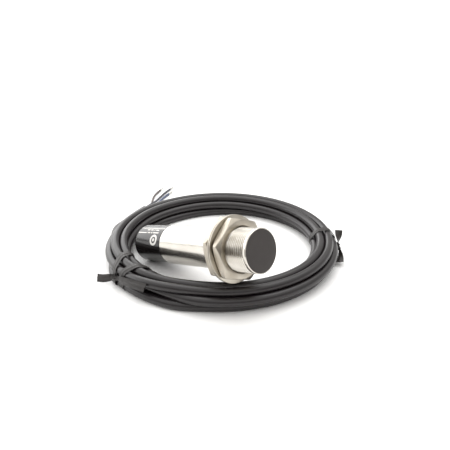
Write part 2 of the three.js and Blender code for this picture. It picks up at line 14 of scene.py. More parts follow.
import bpy
import numpy as np
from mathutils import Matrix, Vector


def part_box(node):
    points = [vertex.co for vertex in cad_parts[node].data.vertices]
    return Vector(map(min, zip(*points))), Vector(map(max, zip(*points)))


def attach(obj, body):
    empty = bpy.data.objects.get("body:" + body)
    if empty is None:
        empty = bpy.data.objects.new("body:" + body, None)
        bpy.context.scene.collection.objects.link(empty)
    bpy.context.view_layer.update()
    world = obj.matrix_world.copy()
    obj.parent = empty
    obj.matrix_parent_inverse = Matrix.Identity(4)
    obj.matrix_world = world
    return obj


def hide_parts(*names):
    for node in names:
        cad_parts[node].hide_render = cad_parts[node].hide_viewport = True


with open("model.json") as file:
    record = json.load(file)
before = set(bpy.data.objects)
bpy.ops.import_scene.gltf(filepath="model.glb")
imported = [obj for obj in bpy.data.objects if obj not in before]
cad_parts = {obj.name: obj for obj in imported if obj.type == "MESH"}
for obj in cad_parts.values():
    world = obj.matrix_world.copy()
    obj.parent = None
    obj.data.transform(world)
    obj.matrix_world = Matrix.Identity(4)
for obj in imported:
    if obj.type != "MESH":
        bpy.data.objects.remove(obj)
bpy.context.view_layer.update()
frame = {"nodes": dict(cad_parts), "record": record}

MM = 0.001
TAU = 2 * math.pi
WELD = 2e-7  # metres; corners closer than this are one corner
# Sizes that several pieces share, in millimetres.
BODY_LENGTH = 75.0
BARREL_RADIUS = 9.0
CORD_DIAMETER = 4.1
LOG = logging.getLogger("sensor")

Array = np.ndarray
Socket = bpy.types.NodeSocket
Tree = bpy.types.NodeTree
Pair = Sequence[float]


# ------------------------------------------------------------------ colour and nodes


def linear(code: str) -> tuple[float, float, float, float]:
    """Turns an sRGB hex colour into linear light.

    Args:
        code: six hex digits after a hash sign.

    Returns:
        Red, green, blue and an alpha of 1.
    """
    channels = [int(code[i : i + 2], 16) / 255 for i in (1, 3, 5)]
    red, green, blue = (c / 12.92 if c <= 0.04045 else ((c + 0.055) / 1.055) ** 2.4 for c in channels)
    return red, green, blue, 1.0


def add_node(tree: Tree, kind: str, inputs: dict | None = None, **settings: object) -> bpy.types.Node:
    """Adds one node with its settings, values and links.

    Args:
        tree: the node tree that it goes into.
        kind: the node's type name.
        inputs: for each input, by name or number, a value or the output socket that feeds it.
        settings: the node's own properties.

    Returns:
        The new node.
    """
    node = tree.nodes.new(kind)
    for key, value in settings.items():
        setattr(node, key, value)
    for key, value in (inputs or {}).items():
        if isinstance(value, bpy.types.NodeSocket):
            tree.links.new(value, node.inputs[key])
        else:
            node.inputs[key].default_value = value
    return node


class Coords(Enum):
    """Where a finish reads its pattern from."""

    SOLID = "Object"
    SURFACE = "UV"


@dataclass(frozen=True)
class Finish:
    """A real material and how its surface was made. Lengths are millimetres.

    A cloudy variation mixes two close colours, and a relief, which each kind of finish works out for
    itself, gives the bump and shifts the roughness.
    """

    name: str
    colour: str
    second: str
    roughness: float
    spread: float = 0.05
    relief_mm: float = 0.01
    metallic: float = 0.0
    ior: float = 1.5
    coat: float = 0.0
    cloud_mm: float = 6.0

    def coordinates(self, tree: Tree, coords: Coords, cell_mm: Sequence[float]) -> Socket:
        """Gives the pattern's coordinates.

        Args:
            tree: the material's nodes.
            coords: solid, in metres, or the piece's own map, in millimetres.
            cell_mm: the size of a cell along each coordinate.

        Returns:
            The vector output to feed a texture, which grows by 1 in a cell.
        """
        unit_mm = 1 / MM if coords is Coords.SOLID else 1.0
        source = add_node(tree, "ShaderNodeTexCoord").outputs[coords.value]
        scale = [unit_mm / size for size in cell_mm]
        return add_node(tree, "ShaderNodeMapping", {"Vector": source, "Scale": scale}).outputs["Vector"]

    def noise(
        self, tree: Tree, coords: Coords, cell_mm: Sequence[float], detail: float, roughness: float = 0.5
    ) -> Socket:
        """Adds a noise pattern.

        Args:
            tree: the material's nodes.
            coords: where the pattern is read from.
            cell_mm: the size of a cell along each coordinate.
            detail: how many finer octaves it has.
            roughness: how strong the finer octaves are.

        Returns:
            The pattern, from 0 to 1.
        """
        vector = self.coordinates(tree, coords, cell_mm)
        inputs = {"Vector": vector, "Scale": 1.0, "Detail": detail, "Roughness": roughness}
        return add_node(tree, "ShaderNodeTexNoise", inputs).outputs["Fac"]

    def relief(self, tree: Tree) -> Socket:
        """Gives the texture's height, from 0 to 1. Each kind of finish has its own."""
        raise NotImplementedError(self.name)

    def finish_shader(self, tree: Tree, shader: bpy.types.Node) -> None:
        """Sets what only this kind of finish has."""

    def material(self) -> bpy.types.Material:
        """Builds the material, once.

        Returns:
            The material of this finish.
        """
        made = bpy.data.materials.get(self.name)
        if made:
            return made
        made = bpy.data.materials.new(self.name)
        made.use_nodes = True
        tree = made.node_tree
        tree.nodes.clear()
        cloud = self.noise(tree, Coords.SOLID, (self.cloud_mm,) * 3, 4.0)
        height = self.relief(tree)
        mixing = {"Value": cloud, "From Min": 0.3, "From Max": 0.7}
        amount = add_node(tree, "ShaderNodeMapRange", mixing)
        colours = {"Factor": amount.outputs["Result"], 6: linear(self.colour), 7: linear(self.second)}
        paint = add_node(tree, "ShaderNodeMix", colours, data_type="RGBA")
        low, high = self.roughness - self.spread, self.roughness + self.spread
        rough = add_node(tree, "ShaderNodeMapRange", {"Value": height, "To Min": low, "To Max": high})
        raised = {"Height": height, "Distance": self.relief_mm * MM, "Strength": 1.0}
        bump = add_node(tree, "ShaderNodeBump", raised)
        shader = add_node(
            tree,
            "ShaderNodeBsdfPrincipled",
            {
                "Base Color": paint.outputs[2],
                "Roughness": rough.outputs["Result"],
                "Normal": bump.outputs["Normal"],
                "Metallic": self.metallic,
                "Coat Weight": self.coat,
            },
        )
        if self.metallic < 1:
            shader.inputs["IOR"].default_value = self.ior
        self.finish_shader(tree, shader)
        add_node(tree, "ShaderNodeOutputMaterial", {"Surface": shader.outputs["BSDF"]})
        return made


@dataclass(frozen=True)
class MachinedMetal(Finish):
    """Metal with fine parallel tool marks, which follow the piece's own map.

    The marks are closest together along one coordinate of the map and long along the other.
    """

    marks_mm: tuple[float, float] = (0.12, 30.0)
    anisotropy: float = 0.5

    def relief(self, tree: Tree) -> Socket:
        """Tool marks: noise stretched along the way that the tool went."""
        return self.noise(tree, Coords.SURFACE, (*self.marks_mm, 1.0), 4.0, 0.65)

    def finish_shader(self, tree: Tree, shader: bpy.types.Node) -> None:
        """Spreads the highlights across the marks.

        Args:
            tree: the material's nodes.
            shader: the material's shader.
        """
        tangent = add_node(tree, "ShaderNodeTangent", direction_type="UV_MAP", uv_map="UVMap")
        tree.links.new(tangent.outputs["Tangent"], shader.inputs["Tangent"])
        shader.inputs["Anisotropic"].default_value = self.anisotropy


@dataclass(frozen=True)
class MouldedPolymer(Finish):
    """Plastic or rubber from a mould, which carries the mould's fine grain."""

    grain_mm: float = 0.25

    def relief(self, tree: Tree) -> Socket:
        """Rounded grains of the mould's spark-eroded wall."""
        return self.noise(tree, Coords.SOLID, (self.grain_mm,) * 3, 5.0, 0.6)


@dataclass(frozen=True)
class ExtrudedPolymer(Finish):
    """Plastic drawn through a die: faint lines along the piece and a slow unevenness."""

    line_mm: float = 0.35
    run_mm: float = 40.0

    def relief(self, tree: Tree) -> Socket:
        """Die lines, which are narrow round the section and long along it."""
        return self.noise(tree, Coords.SURFACE, (self.run_mm, self.line_mm, 1.0), 3.0)


@dataclass(frozen=True)
class WovenLaminate(Finish):
    """Glass-cloth laminate under a solder mask, whose weave shows through."""

    thread_mm: float = 0.5

    def relief(self, tree: Tree) -> Socket:
        """Two crossed sets of threads.

        Args:
            tree: the material's nodes.

        Returns:
            The height, from 0 to 1.
        """
        inputs = {"Vector": self.coordinates(tree, Coords.SOLID, (self.thread_mm,) * 3), "Scale": 0.5}
        warp, weft = (add_node(tree, "ShaderNodeTexWave", inputs, bands_direction=way) for way in "XY")
        threads = {0: warp.outputs["Fac"], 1: weft.outputs["Fac"]}
        return add_node(tree, "ShaderNodeMath", threads, operation="MULTIPLY").outputs["Value"]


@dataclass(frozen=True)
class WoundWire(Finish):
    """Enamelled wire, wound side by side."""

    wire_mm: float = 0.18

    def relief(self, tree: Tree) -> Socket:
        """Round turns side by side along the barrel.

        Args:
            tree: the material's nodes.

        Returns:
            The height, from 0 to 1.
        """
        vector = self.coordinates(tree, Coords.SOLID, (self.wire_mm,) * 3)
        turns = {"Vector": vector, "Scale": 0.3, "Distortion": 0.6}
        return add_node(tree, "ShaderNodeTexWave", turns).outputs["Fac"]


# Dull nickel over brass: warm grey, its lathe marks run round the barrel.
NICKEL_TURNED = MachinedMetal(
    "nickel_plated_turned", "#D3CFC8", "#C8C3BA", 0.19, 0.05, 0.0014, 1.0, marks_mm=(0.16, 40.0)
)
# Nuts are parted off hexagonal bar and tumbled: satin faces with short visible scratches.
NICKEL_SATIN = MachinedMetal(
    "nickel_plated_satin", "#BDB6AA", "#A39B8E", 0.33, 0.09, 0.009, 1.0, marks_mm=(0.22, 5.0), anisotropy=0.4
)
# Washers are stamped from brushed strip.
NICKEL_STAMPED = MachinedMetal(
    "nickel_plated_stamped", "#BFB9AE", "#AAA397", 0.3, 0.07, 0.006, 1.0,
    marks_mm=(0.15, 12.0), anisotropy=0.4,
)
# Glass-filled polyester, moulded against an eroded wall: dark warm grey and nearly matt.
FACE_PLASTIC = MouldedPolymer("polyester_face_matt", "#2A2422", "#2F2927", 0.55, 0.08, 0.012, grain_mm=0.16)
# The same polyester from a polished mould: black, glossy, a little wavy.
CAP_PLASTIC = MouldedPolymer("polyester_cap_gloss", "#141212", "#1B1818", 0.17, 0.04, 0.004, grain_mm=1.6)
# Pad-printing ink: slightly uneven white film.
PRINT_INK = MouldedPolymer("pad_print_ink", "#E4E2DE", "#D2CFCA", 0.45, 0.06, 0.004, grain_mm=0.2)
# Plasticised PVC jacket: satin black-brown with die lines.
JACKET = ExtrudedPolymer(
    "pvc_jacket_satin", "#161213", "#1E191B", 0.34, 0.07, 0.012, ior=1.53, cloud_mm=25.0, line_mm=0.5
)
# Conductors have thin, slightly shiny PVC insulation.
WIRE_BROWN = ExtrudedPolymer("pvc_wire_brown", "#4E4341", "#574A47", 0.35, 0.05, 0.006, line_mm=0.3)
WIRE_BLACK = ExtrudedPolymer("pvc_wire_black", "#34343C", "#3E3F49", 0.35, 0.05, 0.006, line_mm=0.3)
WIRE_BLUE = ExtrudedPolymer("pvc_wire_blue", "#414C68", "#4A5573", 0.35, 0.05, 0.006, line_mm=0.3)
# Copper strands dipped in tin.
TINNED = MachinedMetal(
    "tinned_copper_strands", "#D8D8D4", "#B9B7AE", 0.3, 0.06, 0.003, 1.0, marks_mm=(2.0, 0.2)
)
# Twist tie: PVC ribbon over a wire, dull and faintly ribbed along.
TIE_RIBBON = ExtrudedPolymer(
    "pvc_twist_tie", "#1C1817", "#25201E", 0.44, 0.08, 0.015, line_mm=0.4, run_mm=15.0
)
# Nitrile rubber, moulded: matt with a dusty bloom.
SEAL_RUBBER = MouldedPolymer("nitrile_rubber", "#1C1B1B", "#262524", 0.7, 0.08, 0.01, grain_mm=0.3)
# Diffusing polycarbonate of the status light.
LIGHT_GUIDE = MouldedPolymer(
    "polycarbonate_amber", "#D58A1E", "#E29A30", 0.22, 0.04, 0.003, ior=1.58, coat=0.3
)
# What is sealed inside: ferrite pressed and sintered, nylon spool, cast epoxy, and the board's own parts.
SINTERED = MouldedPolymer("sintered_ferrite", "#3A3A3C", "#46464A", 0.75, 0.1, 0.02, grain_mm=0.12)
NYLON = MouldedPolymer("nylon_natural", "#DDD6C2", "#D2CAB4", 0.5, 0.06, 0.008, grain_mm=0.3)
EPOXY = MouldedPolymer("epoxy_potting", "#3D3025", "#4A3B2E", 0.3, 0.08, 0.02, grain_mm=1.2)
CHIP = MouldedPolymer("epoxy_chip_black", "#1B1B1D", "#242427", 0.6, 0.08, 0.006, grain_mm=0.1)
TANTALUM = MouldedPolymer("epoxy_dipped_amber", "#D0852A", "#C2781F", 0.28, 0.05, 0.01, grain_mm=0.8)
LAMINATE = WovenLaminate("glass_laminate_green", "#1C5E36", "#226B3F", 0.35, 0.06, 0.01)
ENAMELLED = WoundWire("enamelled_copper", "#B4693C", "#A65B30", 0.3, 0.08, 0.03, 1.0)
COPPER_FOIL = WoundWire("rolled_copper_foil", "#C07A4C", "#B66E40", 0.3, 0.05, 0.002, 1.0, wire_mm=0.8)


# ------------------------------------------------------------------ surfaces


@dataclass
class Surface:
    """A grid of points, rows by columns, and the map position of each in millimetres.

    The grid is closed by repeating its first row or column at the end, and a pole is a row whose points
    are all the same.
    """

    points: Array
    map_mm: Array

    def corners(self) -> tuple[Array, Array]:
        """Gives each cell's four corners.

        Returns:
            Corner numbers in the flattened grid, four to a row, turned so that a closed surface faces
            outwards, and the grid's points as one list.
        """
        rows, columns = self.points.shape[:2]
        number = np.arange(rows * columns).reshape(rows, columns)
        cells = np.stack([number[:-1, :-1], number[1:, :-1], number[1:, 1:], number[:-1, 1:]], axis=-1)
        cells = cells.reshape(-1, 4)
        flat = self.points.reshape(-1, 3)
        middle = flat.mean(0)
        a, b, c, d = (flat[cells[:, k]] - middle for k in range(4))
        volume = np.einsum("ij,ij->i", a, np.cross(b, c)) + np.einsum("ij,ij->i", a, np.cross(c, d))
        return (cells if volume.sum() >= 0 else cells[:, ::-1]), flat


def build_mesh(name: str, surfaces: Sequence[Surface]) -> bpy.types.Object:
    """Makes one object from closed surfaces, with coincident corners welded and empty cells dropped.

    Args:
        name: the piece's name.
        surfaces: the grids that it is made of.

    Returns:
        The object, smooth, with its map as its UV layer in millimetres.
    """
    cells, points, maps, offset = [], [], [], 0
    for surface in surfaces:
        own, flat = surface.corners()
        cells.append(own + offset)
        points.append(flat)
        maps.append(surface.map_mm.reshape(-1, 2))
        offset += len(flat)
    cells, points, maps = np.concatenate(cells), np.concatenate(points), np.concatenate(maps)
    keys = np.round(points / WELD).astype(np.int64)
    _, first, welded = np.unique(keys, axis=0, return_index=True, return_inverse=True)
    welded = welded.reshape(-1)[cells]
    keep = welded != np.roll(welded, 1, axis=1)
    sides = keep.sum(1)
    keep = keep[sides >= 3]
    corner_points = welded[sides >= 3][keep]
    corner_maps = maps[cells[sides >= 3][keep]]
    totals = sides[sides >= 3]
    mesh = bpy.data.meshes.new(name)
    mesh.vertices.add(len(first))
    mesh.vertices.foreach_set("co", points[first].astype(np.float32).ravel())
    mesh.loops.add(len(corner_points))
    mesh.loops.foreach_set("vertex_index", corner_points.astype(np.int32))
    mesh.polygons.add(len(totals))
    mesh.polygons.foreach_set("loop_start", np.concatenate([[0], np.cumsum(totals)[:-1]]).astype(np.int32))
    mesh.update(calc_edges=True)
    mesh.polygons.foreach_set("use_smooth", np.ones(len(totals), dtype=bool))
    layer = mesh.uv_layers.new(name="UVMap")
    layer.data.foreach_set("uv", corner_maps.astype(np.float32).ravel())
    mesh.validate()
    made = bpy.data.objects.new(name, mesh)
    bpy.context.scene.collection.objects.link(made)
    return made


def crease(piece: bpy.types.Object, angle: float = 35.0) -> None:
    """Keeps edges sharper than an angle, in degrees, as hard edges."""
    piece.data.set_sharp_from_angle(angle=math.radians(angle))


def bevel(piece: bpy.types.Object, width_mm: float, angle: float = 30.0) -> None:
    """Rounds the piece's hard edges.

    Args:
        piece: the object.
        width_mm: how far the rounding reaches from the edge.
        angle: edges sharper than this, in degrees, are rounded.
    """
    rounding = piece.modifiers.new("edge_rounding", "BEVEL")
    rounding.width = width_mm * MM
    rounding.segments = 2
    rounding.limit_method = "ANGLE"
    rounding.angle_limit = math.radians(angle)
    rounding.use_clamp_overlap = True


def dress(
    piece: bpy.types.Object,
    finish: Finish,
    body: str = "sensor",
    replaced: Sequence[str] = (),
) -> bpy.types.Object:
    """Gives a piece its finish, its body and the CAD nodes that it stands for.

    Args:
        piece: the object.
        finish: what it is made of.
        body: the CAD body that it rides on.
        replaced: the CAD nodes that it stands for.

    Returns:
        The same object.
    """
    piece.data.materials.clear()
    piece.data.materials.append(finish.material())
    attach(piece, body)
    if replaced:
        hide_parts(*replaced)
    LOG.info("%s: %d faces, on %s, stands for %s", piece.name, len(piece.data.polygons), body, list(replaced))
    return piece


def smoothstep(x: Array, low: float, high: float) -> Array:
    """Rises from 0 at low to 1 at high, with level ends."""
    t = np.clip((x - low) / (high - low), 0, 1)
    return t * t * (3 - 2 * t)


def spline(points: Array, step: float) -> Array:
    """Draws a smooth curve through points and spaces it evenly.

    It is a Catmull-Rom curve: on each span a cubic whose end slopes are half the chord between the
    neighbours.

    Args:
        points: the points, one to a row.
        step: the spacing wanted.

    Returns:
        The evenly spaced points.
    """
    ends = np.vstack([2 * points[0] - points[1], points, 2 * points[-1] - points[-2]])
    t = np.linspace(0, 1, 24, endpoint=False)[None, :, None]
    p0, p1, p2, p3 = (ends[k : len(ends) - 3 + k][:, None] for k in range(4))
    curve = 0.5 * (
        2 * p1 + (p2 - p0) * t + (2 * p0 - 5 * p1 + 4 * p2 - p3) * t**2 + (3 * p1 - p0 - 3 * p2 + p3) * t**3
    )
    return evenly(np.vstack([curve.reshape(-1, points.shape[1]), points[-1:]]), step)


def evenly(points: Array, step: float) -> Array:
    """Places points along a line at equal distances.

    Args:
        points: the line's points, one to a row.
        step: the distance wanted; the nearest that fits the line is used.

    Returns:
        The new points, ends included.
    """
    far = np.concatenate([[0], np.cumsum(np.linalg.norm(np.diff(points, axis=0), axis=1))])
    at = np.linspace(0, far[-1], max(3, round(far[-1] / step) + 1))
    return np.stack([np.interp(at, far, points[:, k]) for k in range(points.shape[1])], axis=1)


def soften(points: Array, reach: int) -> Array:
    """Averages each point of an even line with its neighbours, weighted by a bell curve.

    Past each end the line is continued by its own mirror image through the end, which keeps the ends.

    Args:
        points: the line's points, one to a row.
        reach: the bell curve's standard deviation, in points.

    Returns:
        As many points, smoother.
    """
    weights = np.exp(-0.5 * (np.arange(-3 * reach, 3 * reach + 1) / reach) ** 2)
    weights /= weights.sum()
    pad = 3 * reach
    before = 2 * points[0] - points[pad:0:-1]
    after = 2 * points[-1] - points[-2 : -pad - 2 : -1]
    padded = np.vstack([before, points, after])
    smooth = [np.convolve(padded[:, k], weights, mode="valid") for k in range(points.shape[1])]
    return np.stack(smooth, axis=1)


def unit(vectors: Array) -> Array:
    """Scales each row to length 1."""
    return vectors / np.linalg.norm(vectors, axis=-1, keepdims=True)


def sweep(path: Array, section: Array, normals: Array | None = None, closed: bool = False) -> Surface:
    """Carries a closed section along a path.

    A point is the path's point, plus the section's first coordinate along the normal, plus its second
    along the binormal. Without given normals they turn as little as possible from ring to ring.

    Args:
        path: the path's points, in metres.
        section: the section's points, in metres: one outline, or one for each of the path's points.
        normals: the direction of the section's first coordinate at each point.
        closed: whether the path comes back to its start.

    Returns:
        The closed surface. Its map is the length along and the length round, in millimetres.
    """
    if closed:
        tangents = unit(np.roll(path, -1, 0) - np.roll(path, 1, 0))
        tangents[0] = tangents[-1] = unit(path[1] - path[-2])
    else:
        tangents = unit(np.gradient(path, axis=0))
    if normals is None:
        normals = np.empty_like(path)
        side = np.cross(tangents[0], [0.0, 0.0, 1.0])
        normals[0] = unit(side)
        for i in range(1, len(path)):
            carried = normals[i - 1] - tangents[i] * (normals[i - 1] @ tangents[i])
            normals[i] = carried / np.linalg.norm(carried)
    normals = unit(normals - tangents * np.einsum("ij,ij->i", normals, tangents)[:, None])
    across = np.cross(tangents, normals)
    outline = section if section.ndim == 3 else np.broadcast_to(section, (len(path), *section.shape))
    points = path[:, None] + outline[..., :1] * normals[:, None] + outline[..., 1:] * across[:, None]
    along = np.concatenate([[0], np.cumsum(np.linalg.norm(np.diff(path, axis=0), axis=1))]) / MM
    first = outline[0]
    around = np.concatenate([[0], np.cumsum(np.linalg.norm(np.diff(first, axis=0), axis=1))]) / MM
    grid = np.stack(np.meshgrid(along, around, indexing="ij"), axis=-1)
    if not closed:
        points = np.concatenate([np.broadcast_to(path[:1, None], points[:1].shape), points])
        points = np.concatenate([points, np.broadcast_to(path[-1:, None], points[:1].shape)])
        grid = np.concatenate([grid[:1], grid, grid[-1:]])
    return Surface(points, grid)


def round_section(diameter: float, sides: int) -> Array:
    """A circle's points, the first repeated at the end."""
    angle = np.linspace(0, TAU, sides + 1)
    return diameter / 2 * np.stack([np.cos(angle), np.sin(angle)], axis=1)


# ------------------------------------------------------------------ the barrel's own axis


class BarrelAxis:
    """The barrel's axis in the frame, found from the record.

    A station is the distance in millimetres from the rear cap's rear face towards the sensing face. An
    angle about the axis is 0 towards +Y and 90 degrees away from the floor.
    """

    NUT_STATION = 63.0  # the front nut's middle, where the record's joint has its point

    def __init__(self) -> None:
        """Reads the front nut's joint."""
        joint = next(j for j in frame["record"]["behaviour"]["joints"] if j["name"] == "front_nut_turn")
        self.ahead = unit(np.array(joint["axis"], float))
        self.side = np.array([0.0, 1.0, 0.0])
        self.up = np.cross(self.ahead, self.side)
        self.origin = np.array(joint["pos_m"], float) - self.ahead * self.NUT_STATION * MM

    def place(self, station: Array, radius: Array, angle: Array) -> Array:
        """Puts points about the axis into the frame.

        Args:
            station: stations in millimetres.
            radius: distances from the axis in millimetres.
            angle: angles about the axis in radians.

        Returns:
            The points in metres.
        """
        station, radius, angle = np.broadcast_arrays(station, radius, angle)
        spoke = np.cos(angle)[..., None] * self.side + np.sin(angle)[..., None] * self.up
        return self.origin + MM * (station[..., None] * self.ahead + radius[..., None] * spoke)

    def offset(self, station: float, side: float, up: float) -> Array:
        """A point beside the axis, all in millimetres."""
        return self.origin + MM * (station * self.ahead + side * self.side + up * self.up)

    def turned(self, outline: Sequence[Sequence[float]], sides: int) -> Surface:
        """Turns an outline of stations and radii about the axis.

        A point is the outline's station and radius at every angle of a full turn.

        Args:
            outline: pairs of station and radius in millimetres. It ends on the axis or closes on itself.
            sides: how many steps make the turn.

        Returns:
            The surface. Its map is the length along the outline and the length round the barrel.
        """
        line = np.array(outline, float)
        angle = np.linspace(0, TAU, sides + 1)
        return self.shaped(line[:, :1] + 0 * angle, line[:, 1:] + 0 * angle, angle)

    def shaped(self, station: Array, radius: Array, angle: Array) -> Surface:
        """Makes a surface from a station and a radius for each row and angle.

        Args:
            station: stations in millimetres, rows by angles.
            radius: radii in millimetres, rows by angles.
            angle: the angles in radians.

        Returns:
            The surface, mapped by the length along the middle column and the length round.
        """
        steps = np.hypot(np.diff(station[:, 0]), np.diff(radius[:, 0]))
        along = np.concatenate([[0], np.cumsum(steps)])
        grid = np.stack(np.meshgrid(along, angle * BARREL_RADIUS, indexing="ij"), axis=-1)
        return Surface(self.place(station, radius, angle[None, :]), grid)


def fillet(corner: Pair, start: Pair, end: Pair, steps: int = 5) -> list[list[float]]:
    """Rounds a corner of an outline.

    It is the quadratic curve that leaves start towards the corner and reaches end from it.

    Args:
        corner: the corner's station and radius.
        start: where the rounding begins.
        end: where it ends.
        steps: how many steps it has.

    Returns:
        The curve's points, both ends included.
    """
    t = np.linspace(0, 1, steps + 1)[:, None]
    a, b, c = (np.array(p, float) for p in (start, corner, end))
    return ((1 - t) ** 2 * a + 2 * t * (1 - t) * b + t**2 * c).tolist()


@dataclass
class OnAxis:
    """Something that is built round the barrel's axis."""

    axis: BarrelAxis


# ------------------------------------------------------------------ the sensor's pieces


@dataclass
class Barrel(OnAxis):
    """Turned brass tube with an M18 x 1 thread at the front, nickel plated. Millimetres."""

    start: float = 20.5
    end: float = BODY_LENGTH
    radius: float = BARREL_RADIUS
    bore: float = 7.8
    pitch: float = 1.0
    thread_depth: float = 0.55
    crest: float = 0.16
    flank: float = 0.66
    thread_start: float = 52.1
    thread_end: float = 73.7
    rear_chamfer: float = 0.5
    front_chamfer: float = 0.25
    seat_radius: float = 8.62
    seat_depth: float = 1.72
    rings_per_pitch: int = 12
    sides: int = 112

    def thread(self, station: Array, angle: Array) -> Array:
        """Depth of the thread below the major radius.

        The phase is the station in pitches less the angle in turns, which makes a right-hand helix.
        Across one pitch the depth is a triangle with its crest and root cut flat, by shares of half a
        pitch, and it fades in and out over about one pitch at the thread's two ends.

        Args:
            station: stations in millimetres.
            angle: angles about the axis in radians.

        Returns:
            The depth in millimetres.
        """
        phase = (station / self.pitch - angle / TAU) % 1.0
        triangle = np.abs(2 * phase - 1)
        groove = np.clip((triangle - self.crest) / self.flank, 0, 1)
        fade = smoothstep(station, self.thread_start, self.thread_start + self.pitch)
        fade = fade * (1 - smoothstep(station, self.thread_end - 0.5 * self.pitch, self.thread_end))
        return self.thread_depth * groove * fade

    def build(self) -> bpy.types.Object:
        """Builds the tube with its helical thread.

        Returns:
            The dressed piece.
        """
        rings = round((self.thread_end - self.thread_start) / self.pitch * self.rings_per_pitch)
        threaded = np.linspace(self.thread_start, self.thread_end, rings + 1)
        plain = np.linspace(self.start + self.rear_chamfer, self.thread_start, 12)[:-1]
        seat = self.end - self.seat_depth
        front = [
            [self.end - self.front_chamfer, self.radius],
            [self.end, self.radius - self.front_chamfer],
            [self.end, self.seat_radius],
            [seat, self.seat_radius],
            [seat, self.bore],
            [self.start, self.bore],
        ]
        outside = [[s, self.radius] for s in np.concatenate([plain, threaded])]
        rear = [[self.start, self.bore], [self.start, self.radius - self.rear_chamfer]]
        outline = np.array(rear + outside + front)
        angle = np.linspace(0, TAU, self.sides + 1)
        station = outline[:, :1] + 0 * angle
        depth = self.thread(station, angle[None, :]) * (outline[:, 1:] == self.radius)
        surface = self.axis.shaped(station, outline[:, 1:] - depth, angle)
        piece = build_mesh("barrel_shell", [surface])
        crease(piece, 38)
        return dress(piece, NICKEL_TURNED, replaced=["barrel"])


@dataclass
class SensingFace(OnAxis):
    """Moulded cup whose disc closes the barrel's front. Millimetres."""

    end: float = BODY_LENGTH
    radius: float = 8.57
    skirt_radius: float = 7.6
    skirt_wall: float = 0.4
    skirt_length: float = 9.0
    depth: float = 1.6
    thickness: float = 0.9
    edge: float = 0.18

    def build(self) -> bpy.types.Object:
        """Turns the cup's outline and dresses it.

        Returns:
            The dressed piece.
        """
        step = self.end - self.depth
        tail = step - self.skirt_length
        inside = self.skirt_radius - self.skirt_wall
        rim = self.radius - self.edge
        rounded = fillet([self.end, self.radius], [self.end - self.edge, self.radius], [self.end, rim])
        outline = [
            [self.end - self.thickness, 0],
            [self.end - self.thickness, inside],
            [tail, inside],
            [tail, self.skirt_radius],
            [step, self.skirt_radius],
            [step, self.radius],
            *rounded,
            [self.end, self.radius * 0.66],
            [self.end, self.radius * 0.33],
            [self.end, 0],
        ]
        piece = build_mesh("sensing_face", [self.axis.turned(outline, 96)])
        crease(piece)
        return dress(piece, FACE_PLASTIC, replaced=["sensing_cap"])


@dataclass
class HexNut(OnAxis):
    """Thin hexagon nut with both faces turned off at 30 degrees. Millimetres and degrees."""

    name: str
    node: str
    start: float
    turn: float
    across_flats: float = 24.0
    thickness: float = 4.0
    bore: float = 9.08
    bore_chamfer: float = 0.55
    face_inset: float = 0.3
    corner_cut: float = 0.12
    chamfer_angle: float = 30.0
    steps_per_flat: int = 14

    def build(self) -> bpy.types.Object:
        """Builds the nut.

        At each angle the outside radius is half the width across flats divided by the cosine of the
        angle from the flat's middle, and no more than the corner's cut radius. The face's chamfer is a
        flat cone, so the flat's edge drops in proportion to how far it stands beyond the face.

        Returns:
            The dressed piece.
        """
        first_corner = math.radians(90 + self.turn)
        angle = first_corner + np.linspace(0, TAU, 6 * self.steps_per_flat + 1)
        from_flat = (angle - first_corner) % (TAU / 6) - TAU / 12
        corner = self.across_flats / math.sqrt(3) - self.corner_cut
        outside = np.minimum(self.across_flats / 2 / np.cos(from_flat), corner)
        face = self.across_flats / 2 - self.face_inset
        half = self.thickness / 2
        middle = self.start + half
        drop = (outside - face) * math.tan(math.radians(self.chamfer_angle))
        lead = half - self.bore_chamfer
        wide = self.bore + self.bore_chamfer
        same = np.ones_like(angle)
        front = [
            (half, wide),
            (half, (wide + face) / 2),
            (half, face),
            (half - drop / 2, (face + outside) / 2),
            (half - drop, outside),
            ((half - drop) / 3, outside),
        ]
        rear = [(-height, radius) for height, radius in reversed(front)]
        rows = [(lead, self.bore), *front, *rear, (-lead, self.bore), (lead, self.bore)]
        station = np.array([middle + height * same for height, _ in rows])
        radius = np.array([reach * same for _, reach in rows])
        piece = build_mesh(self.name, [self.axis.shaped(station, radius, angle)])
        bevel(piece, 0.14, 24)
        crease(piece, 50)
        return dress(piece, NICKEL_SATIN, self.node, [self.node])


@dataclass
class Washer(OnAxis):
    """Thin flat washer with softly rounded rims. Millimetres."""

    name: str
    node: str
    start: float
    thickness: float = 0.65
    inner: float = 9.25
    outer: float = 14.0
    rim: float = 0.18

    def build(self) -> bpy.types.Object:
        """Turns the washer's outline and dresses it.

        Returns:
            The dressed piece.
        """
        a, b, r = self.start, self.start + self.thickness, self.rim
        outline = [
            [a, self.inner],
            [a, (self.inner + self.outer) / 2],
            *fillet([a, self.outer], [a, self.outer - r], [a + r, self.outer], 3),
            *fillet([b, self.outer], [b - r, self.outer], [b, self.outer - r], 3),
            [b, (self.inner + self.outer) / 2],
            [b, self.inner],
            [a, self.inner],
        ]
        piece = build_mesh(self.name, [self.axis.turned(outline, 128)])
        crease(piece)
        return dress(piece, NICKEL_STAMPED, self.node, [self.node])


